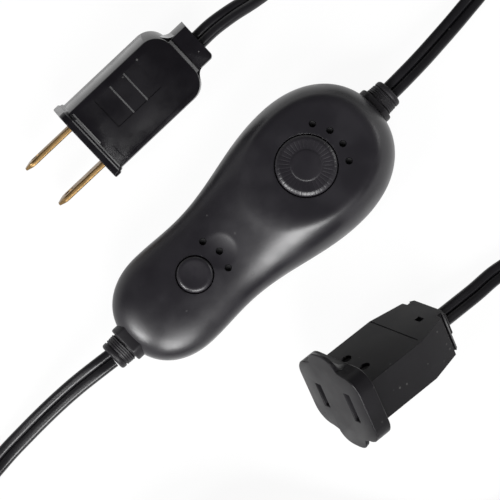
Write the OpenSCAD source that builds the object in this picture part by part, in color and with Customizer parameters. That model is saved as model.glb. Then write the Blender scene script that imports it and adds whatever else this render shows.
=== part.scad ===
// In-line lamp cord dimmer: a waisted two-shell case with a rotary dial and a push switch,
// a flat two-core cord at each end, a two-blade plug and a two-slot outlet.
// Millimetres. The case lies along X with the dial towards +X, and stands on z = 0.

/* [Case] */
// Length of the case between its two round ends
case_length = 90; // [86:1:100]
// Greatest width of the case, round the dial
dial_end_width = 39.2; // [37:0.2:44]
// Greatest width of the switch end
switch_end_width = 29.8; // [29:0.2:34]
// Width of the case at its waist
waist_width = 28.8; // [27:0.2:29]
// Place along X where the dial end is widest
dial_end_x = 21.4; // [20:0.2:23]
// Place along X where the switch end is widest
switch_end_x = -28; // [-29:0.2:-27]
// Place along X of the waist
waist_x = -15; // [-17:0.5:-12]
// Height of the joint between the two shells
parting_height = 9.5; // [9.2:0.1:10.5]
// Height of the switch end's crown
switch_end_height = 17; // [16.8:0.1:19]
// Height of the flat that the dial sits in
plateau_height = 20.5; // [20:0.1:22]
// Height that the dial end's crown would reach without its flat
dial_crown_height = 24.5; // [23.5:0.1:27]
// Thickness of the shells
wall = 2; // [1.8:0.1:2.2]
// Depth of the flat cut on the rounded base
base_flat = 0.5; // [0.3:0.1:0.8]

/* [Dial] */
// Place of the dial along X
dial_x = 19.6; // [19:0.1:20.4]
// Diameter of the dial
dial_diameter = 16.3; // [15:0.1:17.5]
// Height of the dial over its flat
dial_rise = 1; // [0.6:0.1:1.6]
// Gap between the dial and the hole that it turns in
dial_gap = 0.3; // [0.2:0.05:0.5]
// Diameter of the smooth disc in the middle of the dial
dial_disc_diameter = 8; // [7:0.1:9]
// Number of flutes round the dial's top
flute_count = 36; // [24:1:48]
// Width of the flutes
flute_width = 0.35; // [0.25:0.05:0.45]
// Diameter of the dial's shaft
shaft_diameter = 6; // [5:0.1:6.4]

/* [Push button] */
// Place of the push button along X
button_x = -20.7; // [-21.5:0.1:-20]
// Diameter of the push button
button_diameter = 9.6; // [9:0.1:10.4]
// Height of the button over the case
button_rise = 0.7; // [0.5:0.1:1.2]
// Gap between the button and its hole
button_gap = 0.3; // [0.2:0.05:0.5]
// Travel of the button
button_travel = 2; // [1.2:0.1:2.2]

/* [Marks] */
// Diameter of the round marks beside the dial and the button
mark_diameter = 1.9; // [1.5:0.1:2.4]
// Depth of the round marks
mark_depth = 1; // [0.4:0.1:1.2]
// Distance of the four marks from the middle of the dial
dial_mark_radius = 11.2; // [10.6:0.1:11.6]
// Distance of the three marks from the middle of the button
button_mark_radius = 8.9; // [8:0.1:9.4]
// Diameter of the thumb dish between the button and the dial
dish_diameter = 9.4; // [9:0.1:10]
// Depth of the thumb dish
dish_depth = 0.6; // [0.3:0.1:0.8]

/* [Circuit] */
// Thickness of the circuit board
board_thickness = 1.6; // [1.2:0.1:1.8]
// Width of the circuit board
board_width = 20; // [19.4:0.2:20.6]
// Height of the posts that carry the board over the case floor
board_post_height = 2.4; // [2:0.1:2.6]
// Diameter of the potentiometer can
pot_diameter = 15.6; // [14.6:0.1:16]
// Height of the potentiometer can
pot_height = 6.6; // [6:0.1:6.8]
// Side of the square switch body
switch_side = 12; // [11:0.2:12]
// Height of the switch body
switch_height = 3.8; // [3.4:0.1:4]
// Diameter of the case screws
screw_diameter = 2.2; // [2:0.1:2.6]

/* [Cord] */
// Width of the flat two-core cord
cord_width = 5.3; // [5:0.1:5.4]
// Thickness of the cord
cord_thickness = 2.7; // [2.5:0.1:2.8]
// Diameter of the strain reliefs where they leave the case
relief_diameter = 10.5; // [10:0.1:10.8]
// Height of a strain relief between its flats
relief_height = 8.4; // [8:0.1:9]
// Length of a strain relief outside the case
relief_length = 5.9; // [5.4:0.1:7]

/* [Plug] */
// Distance between the two blades
blade_pitch = 12.7; // [12.7:0.1:12.7]
// Length of the blades outside the plug
blade_length = 15.9; // [15.9:0.1:18.2]
// Width of the live blade
live_blade_width = 6.35; // [6.2:0.05:6.5]
// Width of the neutral blade
neutral_blade_width = 7.9; // [7.8:0.05:8]
// Thickness of the blades
blade_thickness = 1.5; // [1.4:0.05:1.65]
// Width of the plug at its base
plug_width = 23.4; // [22.4:0.2:23.6]
// Thickness of the plug
plug_thickness = 10.6; // [10.2:0.2:12]
// Length of the plug without its neck
plug_length = 35.2; // [33:0.2:40]
// Width of the plug's front flange
plug_flange_width = 25.2; // [24.4:0.2:26]

/* [Outlet] */
// Width of the outlet
outlet_width = 22; // [21.6:0.2:25]
// Thickness of the outlet
outlet_thickness = 12.1; // [11.8:0.1:12.5]
// Length of the outlet with its flange
outlet_length = 35.4; // [34:0.2:37]
// Width of the outlet's front flange
outlet_flange_width = 26; // [25.6:0.2:27]
// Height of the outlet's front flange without its thumb grips
outlet_flange_height = 21; // [19:0.2:21.6]
// Length of the live slot
live_slot_length = 7.3; // [7.1:0.1:7.5]
// Length of the neutral slot
neutral_slot_length = 8.8; // [8.6:0.1:9]
// Width of the slots
slot_width = 2.1; // [1.9:0.1:2.3]

/* [Hidden] */
$fn = 64;
// Small gaps: a running fit, pieces that seat in one another, and pieces that pass each other.
running_gap = 0.05;
seat_gap = 0.05;
free_gap = 0.3;
// How far a cut runs past the face that it opens.
past = 0.5;

// Shape of the case: its outline and its crown are rounded by these powers.
outline_power = 2.2;
crown_power = 2.4;
switch_end_blunt = 1;
base_power = 3.5;
crown_rise_power = 1.6;
// How much wider the thumb dish's hollow is across the case, so that its edge is round on the crowned roof.
dish_spread = 1.4;
half_length = case_length / 2;
cap_steps = 9;
side_steps = 14;
crown_angles = [0, 10, 22, 35, 48, 60, 71, 81];
base_angles = [0, 14, 28, 42, 56, 70, 80];

function to_range(x, low, high) = max(low, min(high, x));
function ease(t) = (1 - cos(180 * to_range(t, 0, 1))) / 2;
function spine_x(x) = to_range(x, switch_end_x, dial_end_x);
function side_half(x) =
    x > waist_x
    ? (waist_width + (dial_end_width - waist_width) * ease((x - waist_x) / (dial_end_x - waist_x))) / 2
    : (waist_width + (switch_end_width - waist_width) * ease((waist_x - x) / (waist_x - switch_end_x))) / 2;
function cap_point(middle, reach, half, angle) = [
    middle + reach * pow(cos(angle), 2 / outline_power),
    half * pow(sin(angle), 2 / outline_power)
];
// One side of the outline, from the dial end's tip to the switch end's tip.
side_outline = concat(
    [for (k = [0 : cap_steps])
        cap_point(dial_end_x, half_length - dial_end_x, dial_end_width / 2, 90 * k / cap_steps)],
    [for (k = [1 : side_steps - 1])
        let (x = dial_end_x + (switch_end_x - dial_end_x) * k / side_steps) [x, side_half(x)]],
    [for (k = [cap_steps : -1 : 0])
        cap_point(switch_end_x, -half_length - switch_end_x, switch_end_width / 2, 90 * k / cap_steps)]
);
half_count = len(side_outline) - 1;
ring_count = 2 * half_count;
outline = concat(
    side_outline,
    [for (k = [half_count - 1 : -1 : 1]) [side_outline[k][0], -side_outline[k][1]]]
);

// Height of the crown over the joint, along the middle of the case.
function crown(x) =
    switch_end_height - parting_height
    + (dial_crown_height - switch_end_height)
    * pow(ease((spine_x(x) - button_x) / (dial_end_x - button_x)), crown_rise_power);
// The case's outline shrunk towards its spine by a share, and moved in by an inset.
function case_ring(share, inset) = [
    for (p = outline)
    let (foot = spine_x(p[0]), arm = [p[0] - foot, p[1]], kept = share * (1 - inset / norm(arm)))
    [foot + kept * arm[0], kept * arm[1], foot]
];
// The crown's edge grows blunter towards the switch end's tip, where it covers the strain relief's ring.
function edge_power(x) =
    crown_power + switch_end_blunt * pow(max(0, switch_end_x - x) / (half_length + switch_end_x), 2);
function crown_share(x, share) = pow(1 - pow(min(1, share), edge_power(x)), 1 / edge_power(x));
function crown_ring(angle, inset) =
    let (share = pow(cos(angle), 2 / crown_power))
    [
        for (p = case_ring(share, inset))
        let (z = parting_height + (crown(p[2]) - inset) * crown_share(p[0], share))
        [p[0], p[1], inset > 0 ? min(z, plateau_height - inset) : z]
    ];
function base_ring(angle, inset) = [
    for (p = case_ring(pow(cos(angle), 2 / base_power), inset))
    let (low = inset > 0 ? inset : -base_flat)
    [p[0], p[1], parting_height + (low - parting_height) * pow(sin(angle), 2 / base_power)]
];
// How far out a place lies between the spine (0) and the outline (1), and the roof's height there.
function share_at(x, y) =
    let (foot = spine_x(x), reach = x > foot ? half_length - dial_end_x : half_length + switch_end_x)
    x == foot
    ? abs(y) / side_half(x)
    : pow(
        pow(abs(x - foot) / reach, outline_power)
        + pow(abs(y) / side_half(foot), outline_power),
        1 / outline_power
    );
function roof(x, y) = min(
    plateau_height,
    parting_height + crown(x) * crown_share(x, share_at(x, y))
);

// Faces of a closed skin made of two stacks of rings: the outer one and the inner one.
function band_faces(first, second, n) = [
    for (k = [0 : n - 1])
    each [
        [first + k, second + k, second + (k + 1) % n],
        [first + k, second + (k + 1) % n, first + (k + 1) % n]
    ]
];
function lid_faces(first, half, n) = [
    for (k = [0 : half - 1])
    let (a = first + k, b = first + k + 1, c = first + n - k - 1, d = first + (n - k) % n)
    each concat(k < half - 1 ? [[a, c, b]] : [], k > 0 ? [[a, d, c]] : [])
];
function flipped(faces) = [for (f = faces) [f[2], f[1], f[0]]];
function skin_faces(levels) =
    let (
        n = ring_count,
        outer = [for (k = [0 : levels - 2]) each band_faces(k * n, (k + 1) * n, n)],
        inner = [for (k = [0 : levels - 2]) each band_faces((levels + k) * n, (levels + k + 1) * n, n)],
        rim = band_faces(levels * n, 0, n)
    )
    concat(
        outer,
        lid_faces((levels - 1) * n, half_count, n),
        flipped(inner),
        flipped(lid_faces((2 * levels - 1) * n, half_count, n)),
        rim
    );

// Heights inside the case.
board_z = wall + board_post_height;
board_top = board_z + board_thickness;
board_low_x = -30;
board_high_x = 29;
pot_top = board_top + pot_height;
bushing_diameter = shaft_diameter + 1.6;
bushing_length = 1.6;
bushing_top = pot_top + bushing_length;
track_top = board_top + 1.8;
rotor_low = track_top + free_gap;
rotor_thickness = 1.5;
dial_top = plateau_height + dial_rise;
dial_flange_diameter = dial_diameter + 3;
dial_flange_top = plateau_height - wall - free_gap;
dial_flange_low = dial_flange_top - 1.5;
dial_hub_diameter = shaft_diameter + 3.4;
dial_hub_low = bushing_top + free_gap;
shaft_top = dial_top - 2.2;
shaft_flat_depth = 0.8;
button_roof = roof(button_x, 0);
button_top = button_roof + button_rise;
button_flange_diameter = button_diameter + 2;
button_flange_top = button_roof - wall - 0.9;
button_flange_low = button_flange_top - 1;
switch_top = board_top + switch_height;
plunger_diameter = 3.6;
plunger_low = board_top + 1;
spring_wire = 0.45;
spring_radius = plunger_diameter / 2 + 1.2;
spring_turns = 2.5;

// Round marks: angles from the case's long axis.
dial_mark_angles = [-37.5, -12.5, 12.5, 37.5];
button_mark_angles = [-32.5, 0, 32.5];
dish_x = button_x + button_mark_radius;
// The dish lies along the roof's slope, and its edges on the case's middle line lie on the roof.
dish_ends = [for (side = [-1, 1]) roof(dish_x + side * dish_diameter / 2, 0)];
dish_tilt = atan((dish_ends[1] - dish_ends[0]) / dish_diameter);
dish_rise = dish_depth + (dish_ends[0] + dish_ends[1]) / 2 - roof(dish_x, 0);
dish_sphere = (dish_diameter * dish_diameter / 4 + dish_rise * dish_rise) / (2 * dish_rise);

// Screws that join the shells, and those that hold the board.
case_screws = [[33, 10], [33, -10], [-34, 6.5], [-34, -6.5]];
case_screw_head = screw_diameter + 2;
case_screw_seat = wall + 1.5;
case_screw_grip = 4.5;
case_boss = case_screw_head / 2 + 1.2;
roof_boss = screw_diameter / 2 + 1.4;
board_screw_edge = 1.9;
board_screw_y = board_width / 2 - board_screw_edge;
board_screws = [[-12.6, board_screw_y], [26.5, -board_screw_y]];
board_screw_head = 1.3;
board_post_radius = 2.2;
board_rests = [[-27.5, 7.5], [-27.5, -7.5], [10, 8]];

// Strain reliefs: a ring through the case wall, a ribbed neck and an end ring.
relief_ring_end = half_length + 1.2;
relief_end = half_length + relief_length;
relief_inner = half_length - 5;
relief_plate_x = relief_inner - 1.6;
relief_plate = [1.6, 12, 5];
relief_neck_radius = 3.7;
relief_rib_radius = 4.1;
relief_end_radius = 4.25;
relief_ribs = 4;

// Places of the plug and the outlet: the middle of their front faces, and their turns about X, Y and Z.
plug_at = [-16.9, 45.65, 8.6];
plug_turn = [15.1, -5, -1];
plug_flange = [2.8, plug_flange_width, 13];
plug_flange_corner = 3;
plug_flange_foot = 1.5;
plug_flange_lean = 1.6;
plug_corner = 5.5;
// The sides of the plug and of its neck lean in from base to top.
plug_lean = [0.7, 1.95];
plug_neck = [5.6, 12.8, 7.8];
plug_neck_lean = [1, 0.95];
plug_end = plug_length + plug_neck[0];
plug_panel = [9.6, -1.9, 15.3, 9.5];
plug_panel_ribs = [15.1, 20];
panel_depth = 0.35;
outlet_at = [-17.4, -49.4, 19.8];
outlet_turn = [-53.5, 17.5, -5.2];
outlet_flange_thickness = 5;
outlet_flange_corner = 5;
outlet_grip = [10.8, 4.6];
outlet_shoulder = 12;
outlet_shoulder_x = outlet_length - outlet_shoulder;
outlet_rear_width = 11.6;
outlet_tail = 1.8;
outlet_end = outlet_length + outlet_tail;
contact_depth = 15;
contact_leaf = 0.6;

function turned(v, r) =
    let (
        a = [v[0], v[1] * cos(r[0]) - v[2] * sin(r[0]), v[1] * sin(r[0]) + v[2] * cos(r[0])],
        b = [a[0] * cos(r[1]) + a[2] * sin(r[1]), a[1], a[2] * cos(r[1]) - a[0] * sin(r[1])]
    )
    [b[0] * cos(r[2]) - b[1] * sin(r[2]), b[0] * sin(r[2]) + b[1] * cos(r[2]), b[2]];
function on_plug(x) = plug_at + turned([x, 0, 0], plug_turn);
function on_outlet(x) = outlet_at + turned([x, 0, 0], outlet_turn);

// Cord coils: middle, way round (1 is anticlockwise), first angle, whole sweep and mean radius.
coil_step = cord_thickness + 0.5;
coil_rise = cord_width + 0.6;
tie_thickness = 0.8;
coil_low_z = cord_width / 2 + tie_thickness + 0.3;
rings_per_turn = 24;
line_coil = [[106.4, 34], 1, -90, 1630, 26.6];
load_coil = [[-78, -72], -1, 95, 1130, 29];

function coil_xyz(c, a) =
    let (
        inner = c[4] - coil_step * c[3] / 1440,
        r = inner + coil_step * abs(a - c[3] / 2) / 360,
        z = coil_low_z + coil_rise * ease((a - c[3] / 2) / 180 + 0.5),
        angle = c[2] + c[1] * a
    )
    [c[0][0] + r * cos(angle), c[0][1] + r * sin(angle), z, 90];
function xyz(p) = [p[0], p[1], p[2]];
function unit(v) = v / norm(v);
// A coil's end is straight for one cord width, so its ends are two points beyond the spiral.
function coil_before(c) =
    let (p = coil_xyz(c, 0), d = unit(xyz(coil_xyz(c, 2)) - xyz(p))) concat(xyz(p) - cord_width * d, [90]);
function coil_after(c) =
    let (p = coil_xyz(c, c[3]), d = unit(xyz(p) - xyz(coil_xyz(c, c[3] - 2)))) concat(xyz(p) + cord_width * d, [90]);
function coil_path(c) =
    let (steps = round(c[3] * rings_per_turn / 360))
    concat(
        [coil_before(c)],
        [for (k = [0 : steps]) coil_xyz(c, c[3] * k / steps)],
        [coil_after(c)]
    );

// Cord routes: each point has X, Y, Z and the cord's roll in degrees, 0 where it lies flat.
line_near_route = concat(
    [
        [relief_end, 0, parting_height, 0], [56.6, 0.2, 8.8, 0], [63.2, 0.6, 7.4, 0], [70.6, 1.3, 5.7, 0],
        [78.2, 2.1, 4.3, 2], [85.8, 3, 3.6, 16], [93.4, 3.7, 3.6, 50]
    ],
    [coil_before(line_coil)]
);
line_far_route = concat(
    [coil_after(line_coil)],
    [
        [88, 60.7, 9.1, 86], [80.8, 57.2, 8.2, 74], [74.2, 53, 7.6, 60], [67.8, 48.8, 7.5, 50],
        [61.4, 45.3, 7.9, 42], [55, 43.2, 8.7, 36], [48.4, 42.5, 9.9, 31], [41.8, 43, 11.3, 27],
        [35.2, 44.1, 12.4, 22]
    ],
    [concat(on_plug(plug_end + 5), [plug_turn[0]]), concat(on_plug(plug_end), [plug_turn[0]])]
);
load_near_route = concat(
    [
        [-relief_end, 0, parting_height, 0], [-56, 0.6, 9.3, 0], [-63, 1.4, 7.8, 0], [-71, 1.9, 5.6, 0],
        [-80, 2, 3.4, 0], [-90, 1.6, 2, 0], [-99.5, 0, 1.8, 0], [-107.2, -5, 1.8, 3],
        [-112.2, -12.6, 2, 12], [-113.4, -20.6, 2.4, 25], [-111.2, -29.6, 2.9, 42], [-105.4, -36.6, 3.3, 62],
        [-97, -40.6, 3.6, 80]
    ],
    [coil_before(load_coil)]
);
load_far_route = concat(
    [coil_after(load_coil)],
    [
        [-45, -63.6, 7.6, 84], [-36.5, -73.6, 5.4, 66], [-28, -83.2, 3.7, 40], [-18, -92.8, 2.5, 18],
        [-7, -99.6, 1.8, 4], [5, -102, 1.8, 0], [16, -101.4, 1.8, 0], [27, -99.6, 1.8, 0],
        [38, -97.2, 1.8, 0], [48.6, -93, 1.8, 0], [56.4, -85.4, 1.8, 0], [59.2, -75, 1.8, 0],
        [56.4, -64.6, 1.9, 0], [48.6, -57.2, 2.3, 0], [38.6, -54.3, 3.4, 0], [30, -53.7, 5, 0]
    ],
    [concat(on_outlet(outlet_end + 5), [0]), concat(on_outlet(outlet_end), [0])]
);

// Sections of the cord: two lobes with a groove between them, and a plainer one for the coils.
lobe = cord_thickness / 2;
lobe_at = cord_width / 2 - lobe;
lobe_angles = [-105, -35, 35, 105];
cord_section = concat(
    [for (a = lobe_angles) [lobe_at + lobe * cos(a), lobe * sin(a)]],
    [[0, 0.55 * lobe]],
    [for (a = lobe_angles) [-lobe_at - lobe * cos(a), -lobe * sin(a)]],
    [[0, -0.55 * lobe]]
);
coil_section = [
    [cord_width / 2, 0], [lobe_at, lobe], [-lobe_at, lobe],
    [-cord_width / 2, 0], [-lobe_at, -lobe], [lobe_at, -lobe]
];
round_section = [for (k = [0 : 7]) [cos(45 * k), sin(45 * k)]];

// Rings of a section carried along a path, each square to the path and rolled about it.
function swept_ring(path, k, section) =
    let (
        last = len(path) - 1,
        along = unit(xyz(path[min(k + 1, last)]) - xyz(path[max(k - 1, 0)])),
        side = unit(cross([0, 0, 1], along)),
        above = cross(along, side),
        roll = path[k][3],
        across = cos(roll) * side + sin(roll) * above,
        over = cos(roll) * above - sin(roll) * side
    )
    [for (s = section) xyz(path[k]) + s[0] * across + s[1] * over];
function swept_rings(path, section) = [for (k = [0 : len(path) - 1]) swept_ring(path, k, section)];
function fan_faces(first, n) = [for (k = [1 : n - 2]) [first, first + k + 1, first + k]];
// The least distance between two stretches of one tube that lie half a turn or more apart.
function least_gap(rings) = min([
    for (i = [0 : len(rings) - 1], j = [i + rings_per_turn - 3 : len(rings) - 1])
    for (a = rings[i])
    let (gaps = [for (b = rings[j]) norm(a - b)])
    min(gaps)
]);

module swept_tube(path, section) {
    rings = swept_rings(path, section);
    n = len(section);
    last = (len(path) - 1) * n;
    polyhedron(
        points = [for (r = rings) each r],
        faces = concat(
            fan_faces(0, n),
            [for (k = [0 : len(path) - 2]) each flipped(band_faces(k * n, (k + 1) * n, n))],
            flipped(fan_faces(last, n))
        )
    );
}

// A rectangle with round corners, centred.
module round_rectangle(width, height, corner) {
    square([width - 2 * corner, height], center = true);
    square([width, height - 2 * corner], center = true);
    for (x = [-1, 1], y = [-1, 1]) {
        translate([x * (width / 2 - corner), y * (height / 2 - corner)]) circle(corner);
    }
}

// A block that starts at x = 0 and is centred on the X axis.
module bar(size) {
    translate([0, -size[1] / 2, -size[2] / 2]) cube(size);
}

// An upright plate, extruded along X from a shape drawn across Y and Z.
module across_x(length) {
    rotate([90, 0, 90]) linear_extrude(height = length) children();
}

module skin(rings) {
    polyhedron(points = [for (r = rings) each r], faces = skin_faces(len(rings) / 2));
}

// A round bar along X with a flat above and below.
module relief_ring(diameter, height, length) {
    intersection() {
        rotate([0, 90, 0]) cylinder(d = diameter, h = length);
        bar([length, 2 * diameter, height]);
    }
}

module relief_hole() {
    for (side = [0, 180]) {
        rotate([0, 0, side])
        translate([relief_inner, 0, parting_height])
        relief_ring(relief_diameter + 2 * seat_gap, relief_height + 2 * seat_gap, half_length);
    }
}

// Upper shell, with the flat for the dial, both holes, the round marks and the thumb dish.
module upper_shell() {
    color([0.16, 0.155, 0.165])
    difference() {
        union() {
            skin(concat(
                [for (a = crown_angles) crown_ring(a, 0)],
                [for (a = crown_angles) crown_ring(a, wall)]
            ));
            for (p = case_screws) {
                translate([p[0], p[1], parting_height])
                cylinder(r = roof_boss, h = roof(p[0], p[1]) - parting_height - wall / 2);
            }
        }
        translate([0, -dial_end_width, plateau_height]) cube([case_length, 2 * dial_end_width, case_length]);
        translate([dial_x, 0, parting_height])
        cylinder(r = dial_diameter / 2 + dial_gap, h = plateau_height);
        translate([button_x, 0, parting_height])
        cylinder(r = button_diameter / 2 + button_gap, h = plateau_height);
        for (a = dial_mark_angles) {
            translate([dial_x + dial_mark_radius * cos(a), dial_mark_radius * sin(a), plateau_height - mark_depth])
            cylinder(d = mark_diameter, h = wall);
        }
        for (a = button_mark_angles) {
            x = button_x + button_mark_radius * cos(a);
            y = button_mark_radius * sin(a);
            translate([x, y, roof(x, y) - mark_depth - (a == 0 ? dish_depth : 0)])
            cylinder(d = mark_diameter, h = wall);
        }
        translate([dish_x, 0, roof(dish_x, 0)])
        rotate([0, -dish_tilt, 0])
        translate([0, 0, dish_sphere - dish_depth])
        scale([1, dish_spread, 1])
        sphere(dish_sphere);
        for (p = case_screws) {
            translate([p[0], p[1], parting_height - past])
            cylinder(r = screw_diameter / 2 + running_gap, h = case_screw_grip + free_gap + past);
        }
        relief_hole();
    }
}

// Lower shell, with its flat base, the screw posts and the posts under the board.
module lower_shell() {
    color([0.15, 0.145, 0.155])
    difference() {
        union() {
            mirror([0, 1, 0])
            mirror([0, 0, 1])
            skin(concat(
                [for (a = base_angles) [for (p = base_ring(a, 0)) [p[0], p[1], -p[2]]]],
                [for (a = base_angles) [for (p = base_ring(a, wall)) [p[0], p[1], -p[2]]]]
            ));
            for (p = case_screws) {
                translate([p[0], p[1], wall / 2]) cylinder(r = case_boss, h = parting_height - wall / 2);
            }
            for (p = concat(board_screws, board_rests)) {
                translate([p[0], p[1], wall / 2]) cylinder(r = board_post_radius, h = board_z - wall / 2);
            }
        }
        translate([-case_length, -case_length, -case_length])
        cube([2 * case_length, 2 * case_length, case_length]);
        for (p = case_screws) {
            translate([p[0], p[1], -past])
            cylinder(d = case_screw_head + 2 * free_gap, h = case_screw_seat + past);
            translate([p[0], p[1], 0])
            cylinder(r = screw_diameter / 2 + running_gap, h = parting_height + past);
        }
        for (p = board_screws) {
            translate([p[0], p[1], wall]) cylinder(r = screw_diameter / 2 + running_gap, h = board_z);
        }
        relief_hole();
    }
}

// A screw that stands on its head: head, cross slot and shank.
module screw(head_height, length) {
    difference() {
        cylinder(d = case_screw_head, h = head_height);
        for (a = [0, 90]) {
            rotate([0, 0, a])
            translate([-case_screw_head * 0.32, -0.3, -past])
            cube([case_screw_head * 0.64, 0.6, head_height / 2 + past]);
        }
    }
    translate([0, 0, head_height / 2 + 0.3]) cylinder(d = screw_diameter, h = length + head_height / 2 - 0.3);
}

module case_screw_set() {
    color([0.72, 0.72, 0.7])
    for (p = case_screws) {
        translate([p[0], p[1], case_screw_seat - 1.6])
        screw(1.6, parting_height - case_screw_seat + case_screw_grip);
    }
}

module board_screw_set() {
    color([0.72, 0.72, 0.7])
    for (p = board_screws) {
        translate([p[0], p[1], board_top + board_screw_head])
        mirror([0, 0, 1])
        screw(board_screw_head, board_thickness + board_post_height - 0.4);
    }
}

module circuit_board() {
    color([0.55, 0.42, 0.2])
    difference() {
        translate([board_low_x, -board_width / 2, board_z])
        cube([board_high_x - board_low_x, board_width, board_thickness]);
        for (p = board_screws) {
            translate([p[0], p[1], board_z - past])
            cylinder(r = screw_diameter / 2 + running_gap, h = board_thickness + 2 * past);
        }
    }
}

// Potentiometer can with its bushing; the rotor turns in the hollow.
module pot_case() {
    color([0.75, 0.75, 0.73])
    translate([dial_x, 0, 0])
    rotate_extrude()
    difference() {
        union() {
            translate([0, board_top]) square([pot_diameter / 2, pot_height]);
            translate([0, pot_top - past]) square([bushing_diameter / 2, bushing_length + past]);
        }
        translate([0, board_top + 1]) square([pot_diameter / 2 - 1, pot_height - 2]);
        square([shaft_diameter / 2 + running_gap, bushing_top + past]);
    }
}

module pot_track() {
    color([0.3, 0.2, 0.12])
    translate([dial_x, 0, board_top + 1])
    difference() {
        cylinder(r = pot_diameter / 2 - 1 - seat_gap, h = track_top - board_top - 1);
        translate([0, 0, -past]) cylinder(r = shaft_diameter / 2 + 0.6, h = wall + past);
    }
}

terminal_width = 1.2;
module pot_terminals() {
    color([0.8, 0.7, 0.4])
    for (y = [-4, 0, 4]) {
        inner_y = max(0, abs(y) - terminal_width / 2);
        x = dial_x + sqrt(pow(pot_diameter / 2, 2) - inner_y * inner_y) + seat_gap;
        translate([x, y - terminal_width / 2, board_top])
        cube([dial_x + pot_diameter / 2 + 0.8 - x, terminal_width, 2]);
    }
}

// The shaft with its wiper disc and its flat, which the dial fits over.
module pot_shaft() {
    color([0.82, 0.8, 0.72])
    difference() {
        translate([dial_x, 0, 0])
        rotate_extrude() {
            translate([0, rotor_low]) square([pot_diameter / 2 - 2, rotor_thickness]);
            translate([0, rotor_low]) square([shaft_diameter / 2, shaft_top - rotor_low]);
        }
        translate([dial_x + shaft_diameter / 2 - shaft_flat_depth, -shaft_diameter, dial_hub_low])
        cube([shaft_diameter, 2 * shaft_diameter, shaft_top]);
    }
}

// The dial: a dished disc, fluted round its top, with a retaining flange and a hub for the shaft.
module dial() {
    radius = dial_diameter / 2;
    disc = dial_disc_diameter / 2;
    color([0.13, 0.128, 0.135])
    translate([dial_x, 0, 0])
    difference() {
        rotate_extrude()
        polygon([
            [0, dial_hub_low], [dial_hub_diameter / 2, dial_hub_low], [dial_hub_diameter / 2, dial_flange_low],
            [dial_flange_diameter / 2, dial_flange_low], [dial_flange_diameter / 2, dial_flange_top],
            [radius, dial_flange_top], [radius, dial_top - 0.9], [radius - 0.25, dial_top - 0.5],
            [radius - 1.2, dial_top], [disc + 0.3, dial_top - 0.15], [disc, dial_top - 0.4], [0, dial_top - 0.5]
        ]);
        difference() {
            translate([0, 0, dial_hub_low - past])
            cylinder(r = shaft_diameter / 2 + seat_gap, h = shaft_top - dial_hub_low + past + seat_gap);
            translate([shaft_diameter / 2 - shaft_flat_depth + seat_gap, -shaft_diameter, 0])
            cube([shaft_diameter, 2 * shaft_diameter, 2 * shaft_top]);
        }
        for (k = [0 : flute_count - 1]) {
            rotate([0, 0, 360 * k / flute_count])
            translate([disc + 0.5, -flute_width / 2, dial_top - 0.35])
            cube([radius - disc, flute_width, 1]);
        }
    }
}

// The push button: a low dome with a bevelled edge, over a retaining flange.
module push_button() {
    radius = button_diameter / 2;
    color([0.14, 0.138, 0.145])
    translate([button_x, 0, 0])
    rotate_extrude()
    polygon([
        [0, button_flange_low], [button_flange_diameter / 2, button_flange_low],
        [button_flange_diameter / 2, button_flange_top], [radius, button_flange_top],
        [radius, button_top - 0.8], [radius - 0.3, button_top - 0.4], [radius - 1.1, button_top],
        [0, button_top - 0.15]
    ]);
}

module switch_body() {
    color([0.9, 0.89, 0.85])
    difference() {
        translate([button_x - switch_side / 2, -switch_side / 2, board_top])
        cube([switch_side, switch_side, switch_height]);
        translate([button_x, 0, plunger_low - button_travel - free_gap - past])
        cylinder(r = plunger_diameter / 2 + running_gap, h = switch_side);
    }
}

module switch_plunger() {
    color([0.85, 0.2, 0.16])
    translate([button_x, 0, plunger_low + button_travel - past])
    cylinder(d = plunger_diameter, h = button_flange_low - plunger_low - button_travel + past);
}

// The return spring under the button, wound in one piece round the plunger.
module button_spring() {
    rings = 12;
    low = switch_top + spring_wire / 2;
    high = button_flange_low - spring_wire / 2;
    last = round(spring_turns * rings);
    path = [
        for (k = [0 : last])
        [
            button_x + spring_radius * cos(360 * k / rings), spring_radius * sin(360 * k / rings),
            low + (high - low) * k / last, 0
        ]
    ];
    color([0.75, 0.76, 0.78])
    intersection() {
        swept_tube(path, spring_wire / 2 * round_section);
        translate([button_x - switch_side / 2, -switch_side / 2, switch_top])
        cube([switch_side, switch_side, button_flange_low - switch_top]);
    }
}

// Parts of the dimming circuit, standing on the board between the potentiometer and the switch.
heat_sink_at = [-10, 8];
heat_sink_size = [18, 1.2, 7];
triac_size = [8, 3.3, 6];
choke_at = [4.2, -2.5];
choke_outer = 6;
choke_inner = 3.6;
choke_height = 5;
winding_thickness = 0.7;
capacitor_at = [-13.6, -8.6];
capacitor_size = [9.8, 5, 7];
resistor_places = [[-9, -1.4], [-9, 2]];
diac_at = [-9, 5];

module heat_sink() {
    color([0.72, 0.73, 0.75])
    translate([heat_sink_at[0], heat_sink_at[1], board_top])
    cube(heat_sink_size);
}

module triac() {
    color([0.1, 0.1, 0.11])
    translate([heat_sink_at[0] + 5, heat_sink_at[1] - triac_size[1], board_top]) {
        translate([0, 0, 1]) cube(triac_size);
        for (k = [-1, 0, 1]) {
            translate([triac_size[0] / 2 + 2.5 * k, triac_size[1] / 2, 0]) cylinder(d = 0.8, h = 2);
        }
    }
}

module choke_core() {
    color([0.35, 0.36, 0.38])
    translate([choke_at[0], choke_at[1], board_top + winding_thickness])
    difference() {
        cylinder(r = choke_outer, h = choke_height);
        translate([0, 0, -past]) cylinder(r = choke_inner, h = choke_height + 2 * past);
    }
}

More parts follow.
